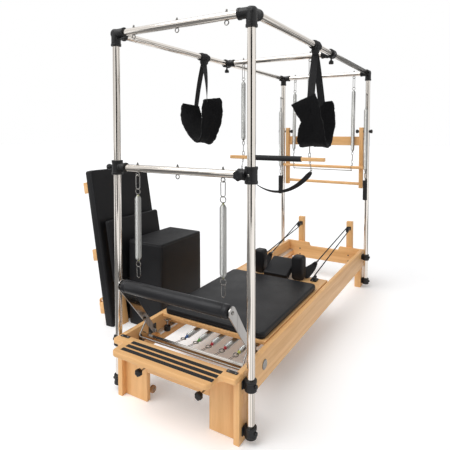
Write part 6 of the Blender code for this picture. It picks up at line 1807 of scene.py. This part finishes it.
def cut(made, cutter):
    """Cuts the cutter's shape out of the piece with an exact Boolean, and keeps the result as its mesh."""
    tool = bpy.data.objects.new("cutter", mesh_of("cutter", [cutter], 30))
    bpy.context.scene.collection.objects.link(tool)
    step = made.modifiers.new("cut", "BOOLEAN")
    step.operation, step.solver, step.object = "DIFFERENCE", "EXACT", tool
    bpy.context.view_layer.update()
    graph = bpy.context.evaluated_depsgraph_get()
    mesh = bpy.data.meshes.new_from_object(
        made.evaluated_get(graph), preserve_all_data_layers=True, depsgraph=graph)
    made.modifiers.clear()
    made.data = mesh
    bpy.data.objects.remove(tool, do_unlink=True)


class REFORMER_OT_boards(Operator):
    """Mat board with its battens and the jumpboard that leans on it"""

    bl_idname = "reformer.boards"
    bl_label = "Mat board and jumpboard"

    def execute(self, context):
        lean = about(Y, -MAT_LEAN)
        upright = about(Y, math.pi / 2)
        foot = np.array([MAT_FOOT_X, MAT_Y, 0])
        half, seam = (MAT_LONG / 2, MAT_WIDE / 2, MAT_THICK / 2), MAT_THICK / 2 - 0.013
        mat = cushion(half, 0.016, 0.010, (0.0008, 0.0), 0.001, (-seam, seam))
        mat = mat.moved((-MAT_THICK / 2, 0, MAT_LONG / 2), upright).moved(foot, lean)
        mat.points[:, 2] = np.maximum(mat.points[:, 2], 0.0002)
        dress("mat_vinyl", "mat_board", [mat], "vinyl", ["mat_board"], 60)
        battens, heads = [], []
        width = MAT_WIDE / 2 - 0.004
        for place in BATTEN_AT:
            battens.append(board((-MAT_THICK - BATTEN_THICK, -width, place - BATTEN_WIDE / 2),
                                 (-MAT_THICK + 0.001, width, place + BATTEN_WIDE / 2), 0.003, lean, foot))
            for y in BATTEN_SCREWS_Y:
                spot = foot + lean @ np.array([-MAT_THICK - BATTEN_THICK, y, place])
                heads.append(screw_head(spot, lean @ -X, 0.005, 0.002))
        dress("mat_battens", "mat_board", battens, "wood_y")
        dress("mat_batten_screws", "mat_board", heads, "fitting")
        hook_at = BATTEN_AT[0] + BATTEN_WIDE / 2
        bow = ((0.036, -0.004), (0.037, 0.016), (0.026, 0.030), (0.010, 0.027), (0.006, 0.012))
        path = curve_through([foot + lean @ np.array([-MAT_THICK - x, -width + 0.012, hook_at + z])
                              for x, z in bow], 24)
        section, _ = rounded(0.0095, 0.0030, 0.0020, 3, 1)
        dress("mat_hook", "mat_board", [swept(path, section, Y)], "wood_y_flat")
        foot = np.array([MAT_FOOT_X, JUMP_Y, 0])
        leg_in, leg_out = JUMP_LEG_IN, JUMP_LEG_IN + JUMP_LEG_THICK
        half = ((JUMP_TOP - JUMP_LOW) / 2, JUMP_WIDE / 2, JUMP_THICK / 2)
        pad = cushion(half, 0.018, 0.011, (0.003, 0.0), 0.001, (-JUMP_THICK / 2 + 0.0135,), 0.0)
        centre = (leg_out + JUMP_THICK / 2 - 0.002, 0, (JUMP_TOP + JUMP_LOW) / 2)
        pad = pad.moved(centre, upright).moved(foot, lean)
        dress("jumpboard_vinyl", "jumpboard", [pad], "vinyl", ["jumpboard"], 60)
        legs = []
        for side, _ in SIDES:
            y = side * (JUMP_WIDE / 2 - JUMP_LEG_IN_Y)
            leg = board((leg_in, y - JUMP_LEG_WIDE / 2, -0.010),
                        (leg_out, y + JUMP_LEG_WIDE / 2, JUMP_TOP - JUMP_LEG_SHORT), 0.003, lean, foot)
            leg.points[:, 2] = np.maximum(leg.points[:, 2], 0.0)
            legs.append(leg)
        dress("jumpboard_legs", "jumpboard", legs, "wood_z_side")
        return {"FINISHED"}


def looking(tree):
    """A node socket that is 1 for the camera's, the gloss's and the glass's rays, and 0 for the light
    that falls on the pieces."""
    rays = tree.nodes.new("ShaderNodeLightPath").outputs
    seen = rays["Is Camera Ray"]
    for kind in ("Is Glossy Ray", "Is Transmission Ray"):
        either = tree.nodes.new("ShaderNodeMath")
        either.operation = "MAXIMUM"
        tree.links.new(seen, either.inputs[0])
        tree.links.new(rays[kind], either.inputs[1])
        seen = either.outputs[0]
    return seen


class REFORMER_OT_stage(Operator):
    """Camera, soft lamps, pale surroundings and floor"""

    bl_idname = "reformer.stage"
    bl_label = "Stage"

    def execute(self, context):
        scene = context.scene
        lens = bpy.data.cameras.new("camera")
        lens.lens, lens.sensor_width, lens.clip_end = LENS_LONG, 36.0, 200
        lens.shift_x, lens.shift_y = LENS_SHIFT
        camera = bpy.data.objects.new("camera", lens)
        camera.location = np.array(CAMERA_AT) + ORIGIN
        camera.rotation_euler = [math.radians(turn) for turn in CAMERA_TURN]
        scene.collection.objects.link(camera)
        scene.camera = camera
        scene.view_settings.view_transform = "Standard"
        for name, strength, spread, tilt in SUNS:
            lamp = bpy.data.lights.new(name, "SUN")
            lamp.energy, lamp.angle = strength, math.radians(spread)
            made = bpy.data.objects.new(name, lamp)
            made.rotation_euler = [math.radians(turn) for turn in tilt]
            scene.collection.objects.link(made)
        world = bpy.data.worlds.new("surroundings")
        scene.world = world
        world.use_nodes = True
        level = world.node_tree.nodes.new("ShaderNodeMapRange")
        level.inputs["To Min"].default_value = WORLD_LEVEL
        world.node_tree.links.new(looking(world.node_tree), level.inputs["Value"])
        back = world.node_tree.nodes["Background"].inputs
        back["Color"].default_value = (1, 1, 1, 1)
        world.node_tree.links.new(level.outputs["Result"], back["Strength"])
        h = FLOOR_HALF
        mesh = bpy.data.meshes.new("floor")
        mesh.from_pydata([(-h, -h, 0), (h, -h, 0), (h, h, 0), (-h, h, 0)], [], [(0, 1, 2, 3)])
        floor = bpy.data.objects.new("floor", mesh)
        scene.collection.objects.link(floor)
        graph = Graph("studio_floor", Specular_IOR_Level=0.25, Emission_Color=(1, 0.995, 0.99, 1))
        cloud = graph.noise(graph.stretched(), 0.8, 2, 0.5)
        tone = graph.tint(tuple(colours().floor), graph.span(cloud, 0.995, 1.0))
        glow = graph.sum("MULTIPLY", looking(graph.material.node_tree), FLOOR_GLOW)
        graph.set(graph.shader.inputs["Emission Strength"], glow)
        mesh.materials.append(graph.finish(tone, graph.span(cloud, 0.6, 0.7)))
        for name, turn, near, far, wide, tone in FLAGS:
            flag = bpy.data.meshes.new(name)
            half = wide / 2
            flag.from_pydata([(-half, *near), (half, *near), (half, *far), (-half, *far)], [], [(0, 1, 2, 3)])
            made = bpy.data.objects.new(name, flag)
            made.rotation_euler = (0, 0, math.radians(turn))
            made.location = ORIGIN
            cloth = Graph(name, Specular_IOR_Level=0.0)
            weave = cloth.noise(cloth.stretched(), 3, 2, 0.5)
            flag.materials.append(cloth.finish(cloth.tint((tone, tone, tone), cloth.span(weave, 0.9, 1.0)),
                                               cloth.span(weave, 0.9, 1.0)))
            made.visible_camera = made.visible_diffuse = made.visible_shadow = False
            scene.collection.objects.link(made)
        return {"FINISHED"}


class REFORMER_PT_panel(Panel):
    """Lists the steps that dress the reformer, with its sizes and colours."""

    bl_label = "Reformer"
    bl_idname = "REFORMER_PT_panel"
    bl_space_type = "VIEW_3D"
    bl_region_type = "UI"
    bl_category = "Reformer"

    def draw(self, context):
        for operator in OPERATORS:
            self.layout.operator(operator.bl_idname)
        for group in (context.scene.reformer_sizes, context.scene.reformer_colours):
            box = self.layout.box()
            for name in group.__annotations__:
                box.prop(group, name)


OPERATORS = (
    REFORMER_OT_stage,
    REFORMER_OT_ropes,
    REFORMER_OT_rails,
    REFORMER_OT_platform,
    REFORMER_OT_foot_legs,
    REFORMER_OT_head_end,
    REFORMER_OT_risers,
    REFORMER_OT_springs,
    REFORMER_OT_carriage,
    REFORMER_OT_rests,
    REFORMER_OT_footbar,
    REFORMER_OT_canopy,
    REFORMER_OT_crossbars,
    REFORMER_OT_hanging_springs,
    REFORMER_OT_trapeze,
    REFORMER_OT_roll_down,
    REFORMER_OT_push_frame,
    REFORMER_OT_fleece_loops,
    REFORMER_OT_sitting_box,
    REFORMER_OT_boards,
)


def register():
    """Registers the classes and gives the scene its sizes and colours."""
    for group in (ReformerSizes, ReformerColours, *OPERATORS, REFORMER_PT_panel):
        bpy.utils.register_class(group)
    bpy.types.Scene.reformer_sizes = PointerProperty(type=ReformerSizes)
    bpy.types.Scene.reformer_colours = PointerProperty(type=ReformerColours)


def unregister():
    """Takes back what register added."""
    del bpy.types.Scene.reformer_colours
    del bpy.types.Scene.reformer_sizes
    for group in reversed((ReformerSizes, ReformerColours, *OPERATORS, REFORMER_PT_panel)):
        bpy.utils.unregister_class(group)


def main():
    register()
    for operator in OPERATORS:
        family, name = operator.bl_idname.split(".")
        getattr(getattr(bpy.ops, family), name)()


if __name__ == "__main__":
    main()
